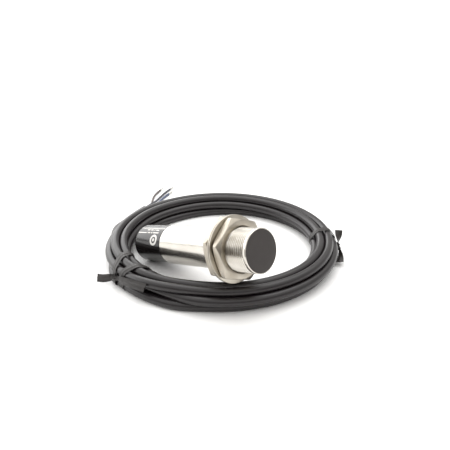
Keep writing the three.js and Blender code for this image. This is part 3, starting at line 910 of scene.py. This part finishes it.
@dataclass
class RearCap(OnAxis):
    """Glossy moulded cap: shell, cable grommet, status light and printed marks. Millimetres."""

    length: float = 20.3
    radius: float = 8.7
    wall: float = 1.25
    floor: float = 7.0
    spigot_radius: float = 7.5
    spigot_length: float = 5.0
    end_round: float = 1.75
    mouth: float = 3.25
    cord_radius: float = CORD_DIAMETER / 2
    nose: float = 3.0
    light_offset: float = 5.05
    light_radius: float = 1.0
    light_gap: float = 0.2
    light_inset: float = 0.3
    light_dome: float = 0.25
    mouth_chamfer: float = 0.3
    seam_chamfer: float = 0.25
    sleeve_gap: float = 0.1
    sleeve_lip: float = 0.3
    sleeve_shoulder: float = 0.35
    cord_gap: float = 0.06
    rib_height: float = 0.16
    rib_pitch: float = 0.95
    ink_proud: float = 0.02

    def shell(self) -> bpy.types.Object:
        """Turns the shell and drills the status light's hole.

        Returns:
            The dressed piece.
        """
        end = self.radius - self.end_round
        inside = self.spigot_radius - self.wall
        spigot = self.length + self.spigot_length
        outline = [
            [0, self.mouth + self.mouth_chamfer],
            [0, end],
            *fillet([0, self.radius], [0, end], [self.end_round, self.radius], 7)[1:],
            [self.length / 2, self.radius],
            [self.length - self.seam_chamfer, self.radius],
            [self.length, self.radius - self.seam_chamfer],
            [self.length, self.spigot_radius],
            [spigot, self.spigot_radius],
            [spigot, inside],
            [self.floor, inside],
            [self.floor, self.mouth],
            [self.mouth_chamfer, self.mouth],
            [0, self.mouth + self.mouth_chamfer],
        ]
        piece = build_mesh("rear_cap_shell", [self.axis.turned(outline, 96)])
        hole_radius = self.light_radius + self.light_gap
        drill = build_mesh("drill", [self.post(-1.0, self.floor + 1, hole_radius, 0)])
        cut = piece.modifiers.new("light_hole", "BOOLEAN")
        cut.operation = "DIFFERENCE"
        cut.object = drill
        drilled = piece.evaluated_get(bpy.context.evaluated_depsgraph_get())
        mesh = bpy.data.meshes.new_from_object(drilled)
        piece.modifiers.clear()
        piece.data = mesh
        bpy.data.objects.remove(drill)
        crease(piece, 32)
        return dress(piece, CAP_PLASTIC, replaced=["rear_cap"])

    def post(self, start: float, end: float, radius: float, dome: float) -> Surface:
        """A pin beside the axis, in line with the status light, whose rear end may be domed.

        Each ring is a circle about the light's own line; the dome is a parabola.

        Args:
            start: station of the rear end.
            end: station of the front end.
            radius: the pin's radius.
            dome: how far the rear end's middle stands proud of its rim.

        Returns:
            The closed surface.
        """
        share = np.array([0, 0.25, 0.5, 0.7, 0.85, 0.95, 1.0])
        station = np.concatenate([start - dome * (1 - share**2), [end, end]])
        ring = np.concatenate([share * radius, [radius, 0]])
        angle = np.linspace(0, TAU, 33)
        side = ring[:, None] * np.cos(angle)
        up = self.light_offset + ring[:, None] * np.sin(angle)
        points = self.axis.place(station[:, None], np.hypot(side, up), np.arctan2(up, side))
        grid = np.stack(np.meshgrid(station, angle * radius, indexing="ij"), axis=-1)
        return Surface(points, grid)

    def light(self) -> bpy.types.Object:
        """Builds the end of the light guide, a shallow amber dome in its hole.

        Returns:
            The dressed piece.
        """
        pin = self.post(self.light_inset, self.floor + 2, self.light_radius, self.light_dome)
        piece = build_mesh("status_light", [pin])
        crease(piece)
        return dress(piece, LIGHT_GUIDE, replaced=["light_pipe"])

    def grommet(self) -> bpy.types.Object:
        """Turns the soft sleeve, which tapers along the cable in ribbed steps.

        The rib height is a raised cosine of the station under a straight taper.

        Returns:
            The dressed piece.
        """
        inner = self.cord_radius + self.cord_gap
        station = np.linspace(-self.nose, -0.2, 29)
        narrow, wide = inner + self.sleeve_lip, self.mouth - self.sleeve_shoulder
        taper = np.interp(station, [-self.nose, 0], [narrow, wide])
        rib = self.rib_height * (0.5 - 0.5 * np.cos(TAU * (station + self.nose) / self.rib_pitch))
        outside = np.stack([station, taper + rib], axis=1).tolist()
        outline = [
            [-self.nose, inner],
            *outside,
            [self.sleeve_shoulder, self.mouth - self.sleeve_gap],
            [self.floor - 0.3, self.mouth - self.sleeve_gap],
            [self.floor - 0.3, inner],
            [-self.nose, inner],
        ]
        piece = build_mesh("cable_sleeve", [self.axis.turned(outline, 48)])
        crease(piece, 40)
        return dress(piece, SEAL_RUBBER, replaced=["cable_grommet"])

    def patch(self, station: Array, angle: Array) -> Surface:
        """A film of ink on the cap: the grid's outside, then the same grid underneath, turned back.

        Args:
            station: the film's stations, rows by columns, the columns closing on themselves.
            angle: its angles.

        Returns:
            The closed surface.
        """
        height = np.full(station.shape, self.radius + self.ink_proud)
        under = np.full(station.shape, self.radius - self.ink_proud)
        stations = np.concatenate([station, station[::-1]])
        angles = np.concatenate([angle, angle[::-1]])
        points = self.axis.place(stations, np.concatenate([height, under]), angles)
        return Surface(points, np.stack([stations, angles * self.radius], axis=-1))

    def disc(self, centre: Sequence[float], inner: float, outer: float) -> Surface:
        """A ring of ink, or a disc where its inner radius is 0.

        Args:
            centre: station in millimetres and angle in degrees.
            inner: the ring's inner radius.
            outer: its outer radius.

        Returns:
            The closed surface.
        """
        turn = np.linspace(0, TAU, 49)
        reach = np.linspace(inner, outer, 4)[:, None]
        station = centre[0] + reach * np.cos(turn)
        angle = math.radians(centre[1]) + reach * np.sin(turn) / self.radius
        surface = self.patch(station, angle)
        if inner > 0:
            surface.points = np.concatenate([surface.points, surface.points[:1]])
            surface.map_mm = np.concatenate([surface.map_mm, surface.map_mm[:1]])
        return surface

    def bar(self, start: float, end: float, angle: float, width: float) -> Surface:
        """A straight stroke of ink along the cap, with round ends.

        Its rows shrink from the outline to the stroke's own middle line.

        Args:
            start: station where it starts.
            end: station where it ends.
            angle: its place round the cap, in degrees.
            width: the stroke's width.

        Returns:
            The closed surface.
        """
        turn = np.linspace(0, TAU, 25)
        reach = np.array([[0.0], [0.6], [1.0]]) * width / 2
        middle = np.where(np.cos(turn) > 0, end - width / 2, start + width / 2)
        station = middle + reach * np.cos(turn)
        around = math.radians(angle) + reach * np.sin(turn) / self.radius
        return self.patch(station, around)

    def marks(self) -> bpy.types.Object:
        """Prints blank generic marks: two rules, two rows of dashes, and a ring with a dot.

        Returns:
            The dressed piece.
        """
        films = [self.bar(2.3, 20.0, 108, 0.42), self.bar(1.6, 8.2, 127, 0.5)]
        dashes = {
            115.5: [(7.5, 9.6), (10.1, 12.2), (12.7, 13.6), (14.1, 16.6)],
            126.0: [(8.8, 11.0), (11.5, 12.6), (13.1, 17.6)],
        }
        films += [self.bar(a, b, angle, 0.62) for angle, row in dashes.items() for a, b in row]
        films += [self.disc((15.4, 149.5), 1.55, 2.6), self.disc((15.4, 149.5), 0.0, 0.75)]
        piece = build_mesh("cap_marks", films)
        crease(piece)
        return dress(piece, PRINT_INK)

    def build(self) -> list[bpy.types.Object]:
        """Builds the cap's pieces.

        Returns:
            The dressed pieces.
        """
        return [self.shell(), self.light(), self.grommet(), self.marks()]


# ------------------------------------------------------------------ the cable


class CableRoute:
    """Where the cable lies: out of the cap, six times clockwise round the coil, and off to its end.

    Lengths are millimetres. The coil's turns are worked out in its section: at every sample each turn
    has a distance outwards and a height, which start from a stack of two, two and two, are pushed
    apart until no two turns are nearer than a diameter, and settle under gravity.
    """

    LEAD_FROM_EXIT = ((-0.3, 0.0, -0.1), (-2.6, 0.0, -0.8), (-5.0, 0.1, -1.5), (-7.2, 0.5, -2.1))
    TAIL = (
        (-68.0, 2.0, 2.1),
        (-72.6, 9.8, 2.1),
        (-76.4, 17.6, 2.1),
        (-79.5, 25.0, 2.1),
        (-81.9, 32.4, 2.1),
    )
    DIAMETER = CORD_DIAMETER
    MEAN_RADIUS = 51.2
    STEP = 3.0  # degrees between samples
    FIRST = 193.0  # degrees about the coil's centre where the lead meets it
    TURNED = 2113.0  # degrees from there to where the tail leaves
    HALF_WIDTH = 4.5  # how far a turn's axis gets from the mean radius
    CEILING = 8.75  # the highest that a turn's axis gets
    WANDER = 0.8  # how far a turn strays from its place in the stack
    INNER_START = 2.3  # how much farther in the first turn starts, beside the lead
    INNER_UNTIL = (15.0, 75.0)  # degrees from the start over which it comes out to its place
    SLACK = 0.3  # room that the first turn has there
    ROUNDS = 500  # steps of settling
    SPRING = 0.22  # share of its bend that a turn loses in a step
    HOLD = 0.012  # share of the way back to its place in a step
    WEIGHT = 0.004  # how far a turn sinks in a step
    CLEAR = 1.005  # distance between two touching turns, in diameters
    SLICE = 4.0  # degrees to either side that a section of the coil takes in
    BUNDLE = 9.0  # how far from the mean radius it looks for turns

    # Where each half turn lies in the stack: distance outwards and height, in diameters.
    STACK = (
        (-1.0, 0.0),
        (-0.5, 0.0),
        (-1.05, 0.85),
        (-1.05, 0.85),
        (-0.5, 1.65),
        (-0.5, 1.65),
        (0.5, 1.65),
        (0.5, 1.65),
        (1.05, 0.85),
        (1.05, 0.85),
        (0.5, 0.0),
        (0.7, 0.0),
        (1.0, 0.0),
    )

    def __init__(self, axis: BarrelAxis) -> None:
        """Finds the coil's centre and the exit in the frame.

        Args:
            axis: the barrel's axis.
        """
        low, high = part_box("cord_coil")
        self.centre = np.array([(low.x + high.x) / 2, (low.y + high.y) / 2]) / MM
        self.exit = axis.offset(-RearCap.nose, 0, 0) / MM

    def stacked(self) -> tuple[Array, Array]:
        """Settles the turns in the coil's section.

        Returns:
            The angle of every sample in degrees, and its distance outwards and height.
        """
        count = round(self.TURNED / self.STEP) + 1
        angle = self.FIRST - self.STEP * np.arange(count)
        per_turn = round(360 / self.STEP)
        halves = np.arange(count) / (per_turn / 2)
        keys = np.array(self.STACK)
        start = np.minimum(halves.astype(int), len(keys) - 2)
        share = smoothstep(halves - start, 0.2, 0.95)[:, None]
        place = (keys[start] * (1 - share) + keys[start + 1] * share) * self.DIAMETER
        place[:, 1] += self.DIAMETER / 2
        dice = np.random.default_rng(7)
        wander = dice.normal(0, 1, (count, 2))
        wander = soften(soften(wander, 12), 12)
        place += wander * (self.WANDER / np.abs(wander).max(0))
        inward = -self.INNER_START * (1 - smoothstep(self.FIRST - angle, *self.INNER_UNTIL))
        outermost = np.where(inward < -self.SLACK, -self.DIAMETER + inward + self.SLACK, np.inf)
        held = place.copy()
        for _ in range(self.ROUNDS):
            place[1:-1] += self.SPRING * (place[:-2] + place[2:] - 2 * place[1:-1])
            place += self.HOLD * (held - place)
            place[:, 1] -= self.WEIGHT
            for turns in range(1, 6):
                gap = place[turns * per_turn :] - place[: count - turns * per_turn]
                far = np.maximum(np.linalg.norm(gap, axis=1, keepdims=True), 1e-6)
                push = np.clip(self.DIAMETER * self.CLEAR - far, 0, None) / 2 * gap / far
                place[turns * per_turn :] += push
                place[: count - turns * per_turn] -= push
            place[:, 1] = np.clip(place[:, 1], self.DIAMETER / 2, self.CEILING)
            place[:, 0] = np.clip(place[:, 0], -self.HALF_WIDTH + inward, self.HALF_WIDTH)
            place[:, 0] = np.minimum(place[:, 0], outermost)
        return angle, place

    def path(self) -> Array:
        """The whole cable's centreline.

        Returns:
            Points about a millimetre apart, in metres.
        """
        angle, place = self.stacked()
        turn = np.radians(angle)
        reach = self.MEAN_RADIUS + place[:, 0]
        flat = self.centre + reach[:, None] * np.stack([np.cos(turn), np.sin(turn)], axis=1)
        coil = np.column_stack([flat, place[:, 1]])
        lead = self.exit + np.array(self.LEAD_FROM_EXIT)
        rough = spline(np.vstack([lead, coil[2:-3:3], np.array(self.TAIL)]), 1.0)
        smooth = evenly(soften(rough, 3), 1.6)
        smooth[:, 2] = np.maximum(smooth[:, 2], self.DIAMETER / 2)
        return smooth * MM

    def section_at(self, path: Array, degrees: float) -> Array:
        """Where the cable crosses the coil's section at an angle.

        Args:
            path: the centreline in metres.
            degrees: the section's angle about the coil's centre.

        Returns:
            Distances outwards from the mean radius and heights, in millimetres.
        """
        flat = path[:, :2] / MM - self.centre
        angle = np.degrees(np.arctan2(flat[:, 1], flat[:, 0]))
        away = (angle - degrees + 180) % 360 - 180
        reach = np.hypot(flat[:, 0], flat[:, 1]) - self.MEAN_RADIUS
        near = (np.abs(away) < self.SLICE) & (np.abs(reach) < self.BUNDLE)
        return np.stack([reach[near], path[near, 2] / MM], axis=1)

    def point(self, degrees: Array, outwards: Array, height: Array) -> Array:
        """Puts places in the coil's section into the frame.

        Args:
            degrees: the section's angle about the coil's centre.
            outwards: distances outwards from the mean radius, in millimetres.
            height: heights in millimetres.

        Returns:
            The points in metres.
        """
        turn, reach = np.radians(degrees), self.MEAN_RADIUS + outwards
        x, y = self.centre[0] + reach * np.cos(turn), self.centre[1] + reach * np.sin(turn)
        return np.stack(np.broadcast_arrays(x, y, height), axis=-1) * MM


# Each conductor's finish and the points of its line, in millimetres, from the jacket's end.
CONDUCTORS: dict[str, tuple[Finish, tuple[tuple[float, float, float], ...]]] = {
    "brown": (WIRE_BROWN, (
        (-82.7, 32.5, 1.7), (-85.2, 38.2, 1.2), (-90.0, 43.8, 0.8),
        (-95.8, 49.4, 0.8), (-100.2, 55.4, 0.8), (-103.2, 61.0, 0.8),
    )),
    "black": (WIRE_BLACK, (
        (-82.0, 32.7, 3.0), (-84.2, 39.0, 2.8), (-88.4, 45.8, 1.6),
        (-93.2, 52.8, 0.8), (-97.2, 60.2, 0.8), (-100.0, 66.8, 0.8),
    )),
    "blue": (WIRE_BLUE, (
        (-81.3, 32.9, 1.7), (-82.8, 39.4, 1.2), (-86.4, 46.2, 0.8),
        (-90.6, 53.0, 0.8), (-93.8, 60.6, 0.8),
    )),
}


@dataclass
class Cable:
    """The jacketed cable and the three conductors that stick out of its end. Millimetres."""

    route: CableRoute
    length: float = 2000.0
    diameter: float = CORD_DIAMETER
    wire_diameter: float = 1.3
    strip_diameter: float = 0.85
    strip_length: float = 5.0
    lay_length: float = 4.0
    lobes: int = 7
    lobe_height: float = 0.13

    def jacket(self, path: Array) -> bpy.types.Object:
        """Carries a round section along the whole route, with the end's rim cut square.

        Args:
            path: the centreline in metres.

        Returns:
            The dressed cord.
        """
        piece = build_mesh("cable_jacket", [sweep(path, round_section(self.diameter * MM, 18))])
        crease(piece, 60)
        return dress(piece, JACKET, replaced=["cord_lead", "cord_coil", "cord_tail"])

    def strands(self, tip: Array, ahead: Array) -> Surface:
        """Twisted bare strands past the insulation.

        The section is a circle with a lobe for each outer strand, and turns once in a lay length.

        Args:
            tip: where the insulation ends, in metres.
            ahead: the direction there.

        Returns:
            The closed surface.
        """
        along = np.linspace(0, self.strip_length, 41) * MM
        path = tip + along[:, None] * ahead
        angle = np.linspace(0, TAU, 57)
        twist = TAU * along[:, None] / (self.lay_length * MM)
        taper = 1 - 0.25 * smoothstep(along, 0.8 * along[-1], along[-1])[:, None]
        lobed = 1 + self.lobe_height * np.abs(np.cos(self.lobes / 2 * (angle + twist)))
        radius = self.strip_diameter / 2 * MM * lobed * taper
        section = np.stack([radius * np.cos(angle), radius * np.sin(angle)], axis=-1)
        return sweep(path, section)

    def wire(self, colour: str) -> list[bpy.types.Object]:
        """Builds one conductor: its insulation and its bare end.

        Args:
            colour: the insulation's colour.

        Returns:
            The dressed pieces.
        """
        finish, points = CONDUCTORS[colour]
        path = evenly(soften(spline(np.array(points), 0.4), 4), 0.7) * MM
        tube = sweep(path, round_section(self.wire_diameter * MM, 16))
        insulation = build_mesh(f"wire_{colour}_insulation", [tube])
        dress(insulation, finish, replaced=[f"wire_{colour}"])
        ahead = unit((path[-1] - path[-2]) * [1, 1, 0])
        bare = build_mesh(f"wire_{colour}_strands", [self.strands(path[-1], ahead)])
        crease(bare, 50)
        dress(bare, TINNED, replaced=[f"stripped_end_{colour}"])
        return [insulation, bare]

    def build(self) -> Array:
        """Builds the cable and its conductors.

        Returns:
            The cable's centreline in metres.
        """
        path = self.route.path()
        jacket = self.jacket(path)
        for colour in CONDUCTORS:
            self.wire(colour)
        return path


@dataclass
class TwistTie:
    """A flat PVC ribbon over a steel wire, looped round the coil and twisted. Millimetres and degrees."""

    name: str
    node: str
    loops: tuple[tuple[float, float], ...]
    twisted: tuple[float, float]
    settled: tuple[float, float]
    turns: float
    leaves: tuple[tuple[tuple[float, float, float], ...], ...]
    width: float = 3.7
    edge: float = 0.16
    core: float = 0.5
    gap: float = 0.12
    above_floor: float = 0.12

    def ribbon(self) -> Array:
        """The ribbon's section: a thin strip with round edges and a low ridge over its wire.

        The half thickness is the edge's, plus a bell curve in the middle, times the height of a circle
        at the two edges.

        Returns:
            The closed outline in metres, thickness first.
        """
        angle = np.linspace(0, TAU, 33)
        across = self.width / 2 * np.cos(angle)
        bell = (self.core - self.edge) * np.exp(-((across / 0.42) ** 2))
        thick = (self.edge + bell) / 2 * np.sign(np.sin(angle)) * np.abs(np.sin(angle)) ** 0.35
        return np.stack([thick, across], axis=1) * MM

    def loop(self, route: CableRoute, path: Array, degrees: float, slant: float) -> Surface:
        """One loop pulled tight round the turns.

        In the coil's section it is the outline of a band round circles: in each direction, the farthest
        turn's axis plus its radius along that direction.

        Args:
            route: the cable's route.
            path: the cable's centreline.
            degrees: the loop's angle about the coil's centre.
            slant: how far the loop runs along the cable from its inner to its outer side, in degrees.

        Returns:
            The closed surface.
        """
        axes = route.section_at(path, degrees)
        direction = np.linspace(0, TAU, 721)
        ways = np.stack([np.cos(direction), np.sin(direction)], axis=1)
        farthest = axes[np.argmax(ways @ axes.T, axis=1)]
        band = farthest + ways * (route.DIAMETER / 2 + self.gap + self.core / 2)
        band = evenly(band, 0.5)
        band[:, 1] = np.maximum(band[:, 1], self.core / 2 + self.above_floor)
        past = 12  # points repeated past the seam, so that it is softened too
        ring = np.vstack([band[-past - 1 : -1], band, band[1 : past + 1]])
        band = soften(ring, 2)[past:-past]
        band[-1] = band[0]
        lean = degrees + slant * (band[:, 0] - band[:, 0].mean()) / np.ptp(band[:, 0])
        line = route.point(lean, band[:, 0], band[:, 1])
        middle = line[:-1].mean(0)
        along = unit(np.roll(line[:-1], -1, 0) - np.roll(line[:-1], 1, 0))
        along = np.vstack([along, along[:1]])
        turn = math.radians(degrees)
        cable = np.array([-math.sin(turn), math.cos(turn), 0.0])
        outward = unit(np.cross(along, cable))
        outward *= np.sign(np.einsum("ij,ij->i", outward, line - middle))[:, None]
        return sweep(line, self.ribbon(), outward, closed=True)

    def strand(self, points: Array, phase: float, twisted: float, settled: float) -> Surface:
        """One free end: twisted about the other for a stretch, then flat.

        Args:
            points: the end's middle line in metres.
            phase: the angle at which this end starts, in turns.
            twisted: the share of the line that is twisted.
            settled: how far the flat stretch is turned from level, in turns.

        Returns:
            The closed surface.
        """
        line = spline(points, 0.35 * MM)
        tangent = unit(np.gradient(line, axis=0))
        share = np.linspace(0, 1, len(line))
        turned = self.turns * smoothstep(share, -twisted * 0.2, twisted)
        angle = TAU * (turned + phase + settled * smoothstep(share, twisted * 0.7, 1))
        level = unit(np.cross(tangent, [0.0, 0.0, 1.0]))
        upright = np.cross(level, tangent)
        normal = np.cos(angle)[:, None] * level + np.sin(angle)[:, None] * upright
        apart = 0.3 * MM * (1 - smoothstep(share, twisted * 0.8, twisted))
        narrow = 1 - 0.3 * (1 - smoothstep(share, twisted * 0.75, twisted * 1.1))
        section = self.ribbon()[None] * np.stack([np.ones_like(narrow), narrow], axis=1)[:, None]
        return sweep(line + apart[:, None] * normal, section, normal)

    def build(self, route: CableRoute, path: Array) -> bpy.types.Object:
        """Builds the loops and the twisted ends.

        Args:
            route: the cable's route.
            path: the cable's centreline.

        Returns:
            The dressed piece.
        """
        surfaces = [self.loop(route, path, degrees, slant) for degrees, slant in self.loops]
        for number, leaf in enumerate(self.leaves):
            places = np.array(leaf)
            points = route.point(places[:, 0], places[:, 1], places[:, 2])
            surfaces.append(self.strand(points, number / 2, self.twisted[number], self.settled[number]))
        piece = build_mesh(self.name, surfaces)
        crease(piece, 50)
        return dress(piece, TIE_RIBBON, replaced=[self.node])


# A leaf's points are degrees about the coil's centre, distance outwards and height in millimetres.
TIES = (
    TwistTie(
        name="left_twist_tie",
        node="left_tie",
        loops=((-106.0, 10.0), (-92.5, -5.0)),
        twisted=(0.4, 0.3),
        settled=(-0.07, 0.11),
        turns=2.5,
        leaves=(
            (
                (-97.0, 6.7, 4.7), (-99.2, 7.2, 4.6), (-100.8, 7.9, 4.4),
                (-101.8, 9.2, 4.0), (-103.8, 11.0, 3.2), (-106.4, 12.8, 2.6),
            ),
            (
                (-101.5, 6.7, 4.5), (-99.0, 7.2, 4.7), (-96.5, 7.4, 5.2),
                (-92.5, 7.4, 6.2), (-87.5, 7.2, 7.2), (-82.5, 7.0, 7.8), (-78.5, 6.9, 8.0),
            ),
        ),
    ),
    TwistTie(
        name="right_twist_tie",
        node="right_tie",
        loops=((47.0, 2.0),),
        twisted=(0.35, 0.35),
        settled=(0.25, 0.22),
        turns=2.0,
        leaves=(
            (
                (40.0, 6.7, 4.0), (41.8, 7.0, 4.6), (43.0, 7.2, 5.6),
                (44.2, 7.5, 7.2), (45.4, 7.8, 9.0), (46.6, 8.0, 10.6),
            ),
            (
                (43.5, 6.7, 4.6), (41.8, 7.0, 4.2), (39.5, 7.3, 3.6),
                (36.5, 7.5, 3.0), (32.5, 7.6, 2.6), (28.5, 7.6, 2.4),
            ),
        ),
    ),
)


# ------------------------------------------------------------------ inside


INSIDE: dict[str, Finish] = {
    "shield_ring": COPPER_FOIL,
    "ferrite_core": SINTERED,
    "coil_bobbin": NYLON,
    "coil_winding": ENAMELLED,
    "circuit_board": LAMINATE,
    "oscillator_chip": CHIP,
    "trim_resistor": CHIP,
    "output_transistor": CHIP,
    "smoothing_capacitor": TANTALUM,
    "surge_diode": CHIP,
    "status_led": LIGHT_GUIDE,
    "potting_resin": EPOXY,
    "cap_seal": SEAL_RUBBER,
    "cable_stub": JACKET,
    "crimp_sleeve": TINNED,
    "inner_conductor_brown": WIRE_BROWN,
    "inner_conductor_black": WIRE_BLACK,
    "inner_conductor_blue": WIRE_BLUE,
}


def dress_inside() -> None:
    """Gives every CAD node that stays its real material."""
    for node, finish in INSIDE.items():
        piece = frame["nodes"][node]
        piece.data.materials.clear()
        piece.data.materials.append(finish.material())
        LOG.info("%s: CAD node in %s", node, finish.name)


# ------------------------------------------------------------------ studio


@dataclass
class Studio:
    """White table, soft boxes and the camera. Metres and degrees."""

    azimuth: float = 44.5
    elevation: float = 24.7
    distance: float = 0.255
    right: float = 0.0017
    rise: float = 0.0131
    lens: float = 40.0
    floor_size: float = 60.0

    def directions(self) -> tuple[Array, Array, Array]:
        """Works out which way the camera faces.

        Returns:
            Its right, up and backward directions.
        """
        a, e = math.radians(self.azimuth), math.radians(self.elevation)
        back = np.array([math.sin(a) * math.cos(e), -math.cos(a) * math.cos(e), math.sin(e)])
        right = np.array([math.cos(a), math.sin(a), 0.0])
        return right, np.cross(back, right), back

    def aim(self) -> Array:
        """Finds what the camera looks at.

        Returns:
            The middle of the coil, moved a little to the right and up.
        """
        low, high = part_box("cord_coil")
        right, up, _ = self.directions()
        middle = np.array([(low.x + high.x) / 2, (low.y + high.y) / 2, 0.0])
        return middle + self.right * right + self.rise * up

    def camera(self) -> None:
        """Places the camera, without depth of field."""
        made = bpy.data.objects.new("camera", bpy.data.cameras.new("camera"))
        bpy.context.scene.collection.objects.link(made)
        made.data.lens = self.lens
        made.data.sensor_width = 36.0
        made.data.dof.use_dof = False
        made.data.clip_start = 0.01
        _, _, back = self.directions()
        made.location = Vector(self.aim() + self.distance * back)
        made.rotation_euler = Vector(back).to_track_quat("Z", "Y").to_euler()
        bpy.context.scene.camera = made

    def floor(self) -> None:
        """Lays a plain white table."""
        half = self.floor_size / 2
        mesh = bpy.data.meshes.new("table")
        rim = [(-half, -half, 0), (half, -half, 0), (half, half, 0), (-half, half, 0)]
        mesh.from_pydata(rim, [], [(0, 1, 2, 3)])
        table = bpy.data.objects.new("table", mesh)
        bpy.context.scene.collection.objects.link(table)
        paper = bpy.data.materials.new("white_paper_matt")
        paper.use_nodes = True
        shader = paper.node_tree.nodes["Principled BSDF"]
        shader.inputs["Base Color"].default_value = linear("#FDFDFD")
        shader.inputs["Roughness"].default_value = 0.9
        mesh.materials.append(paper)

    def softbox(
        self, name: str, angle: float, height: float, away: float, size: tuple[float, float], power: float
    ) -> None:
        """Hangs a soft box that faces the object.

        Args:
            name: the light's name.
            angle: degrees to the right of the camera's own direction, seen from the object.
            height: degrees above the table.
            away: metres from the object.
            size: width and height in metres.
            power: watts.
        """
        a, e = math.radians(self.azimuth + angle), math.radians(height)
        way = np.array([math.sin(a) * math.cos(e), -math.cos(a) * math.cos(e), math.sin(e)])
        lamp = bpy.data.lights.new(name, "AREA")
        lamp.shape = "RECTANGLE"
        lamp.size, lamp.size_y = size
        lamp.energy = power
        box = bpy.data.objects.new(name, lamp)
        box.location = Vector(self.aim() + away * way)
        box.rotation_euler = Vector(way).to_track_quat("Z", "Y").to_euler()
        bpy.context.scene.collection.objects.link(box)

    def surroundings(self) -> None:
        """A pale room under a brighter ceiling, greyer low down on the camera's side.

        The grey's share is a ramp of the direction's part along the camera's own heading, times a ramp
        that falls with height. The ceiling's strength is a ramp that rises with height.
        """
        world = bpy.data.worlds.new("room")
        bpy.context.scene.world = world
        world.use_nodes = True
        tree = world.node_tree
        tree.nodes.clear()
        ray = add_node(tree, "ShaderNodeTexCoord").outputs["Generated"]
        turn = math.radians(self.azimuth)
        heading = (math.sin(turn), -math.cos(turn), 0.0)
        facing = add_node(tree, "ShaderNodeVectorMath", {0: ray, 1: heading}, operation="DOT_PRODUCT")
        height = add_node(tree, "ShaderNodeSeparateXYZ", {"Vector": ray})
        near = {"Value": facing.outputs["Value"], "From Min": 0.15, "From Max": 0.8}
        low = {"Value": height.outputs["Z"], "From Min": 0.6, "From Max": 0.25}
        shares = [
            add_node(tree, "ShaderNodeMapRange", span, interpolation_type="SMOOTHSTEP").outputs["Result"]
            for span in (near, low)
        ]
        both = add_node(tree, "ShaderNodeMath", {0: shares[0], 1: shares[1]}, operation="MULTIPLY")
        ramp = add_node(tree, "ShaderNodeValToRGB", {"Fac": both.outputs["Value"]})
        elements = ramp.color_ramp.elements
        elements[0].color, elements[-1].color = linear("#DDDCDA"), linear("#6F6A66")
        high = {"Value": height.outputs["Z"], "From Min": 0.4, "From Max": 0.7, "To Min": 1.0, "To Max": 1.9}
        ceiling = add_node(tree, "ShaderNodeMapRange", high, interpolation_type="SMOOTHSTEP")
        light = {"Color": ramp.outputs["Color"], "Strength": ceiling.outputs["Result"]}
        glow = add_node(tree, "ShaderNodeBackground", light)
        add_node(tree, "ShaderNodeOutputWorld", {"Surface": glow.outputs["Background"]})

    def build(self) -> None:
        """Sets up the camera, the table and the light."""
        self.camera()
        self.floor()
        self.surroundings()
        self.softbox("box_above", 170, 72, 1.2, (1.4, 1.0), 7)
        self.softbox("wall_left", -130, 21, 1.0, (2.0, 0.55), 9)
        view = bpy.context.scene.view_settings
        view.view_transform = "Standard"
        view.exposure = 0.0


# ------------------------------------------------------------------ assembly


def main() -> None:
    """Builds the sensor in order, the camera and the cables first."""
    logging.basicConfig(level=logging.INFO, format="%(message)s")
    Studio().build()
    axis = BarrelAxis()
    route = CableRoute(axis)
    path = Cable(route).build()
    for tie in TIES:
        tie.build(route, path)
    for piece in (
        Barrel(axis),
        SensingFace(axis),
        RearCap(axis),
        HexNut(axis, "front_hex_nut", "front_nut", start=61.0, turn=6.9),
        HexNut(axis, "rear_hex_nut", "rear_nut", start=55.1, turn=1.6),
        Washer(axis, "washer_front", "front_washer", start=60.15),
        Washer(axis, "washer_rear", "rear_washer", start=59.3),
    ):
        piece.build()
    dress_inside()


if __name__ == "__main__":
    main()
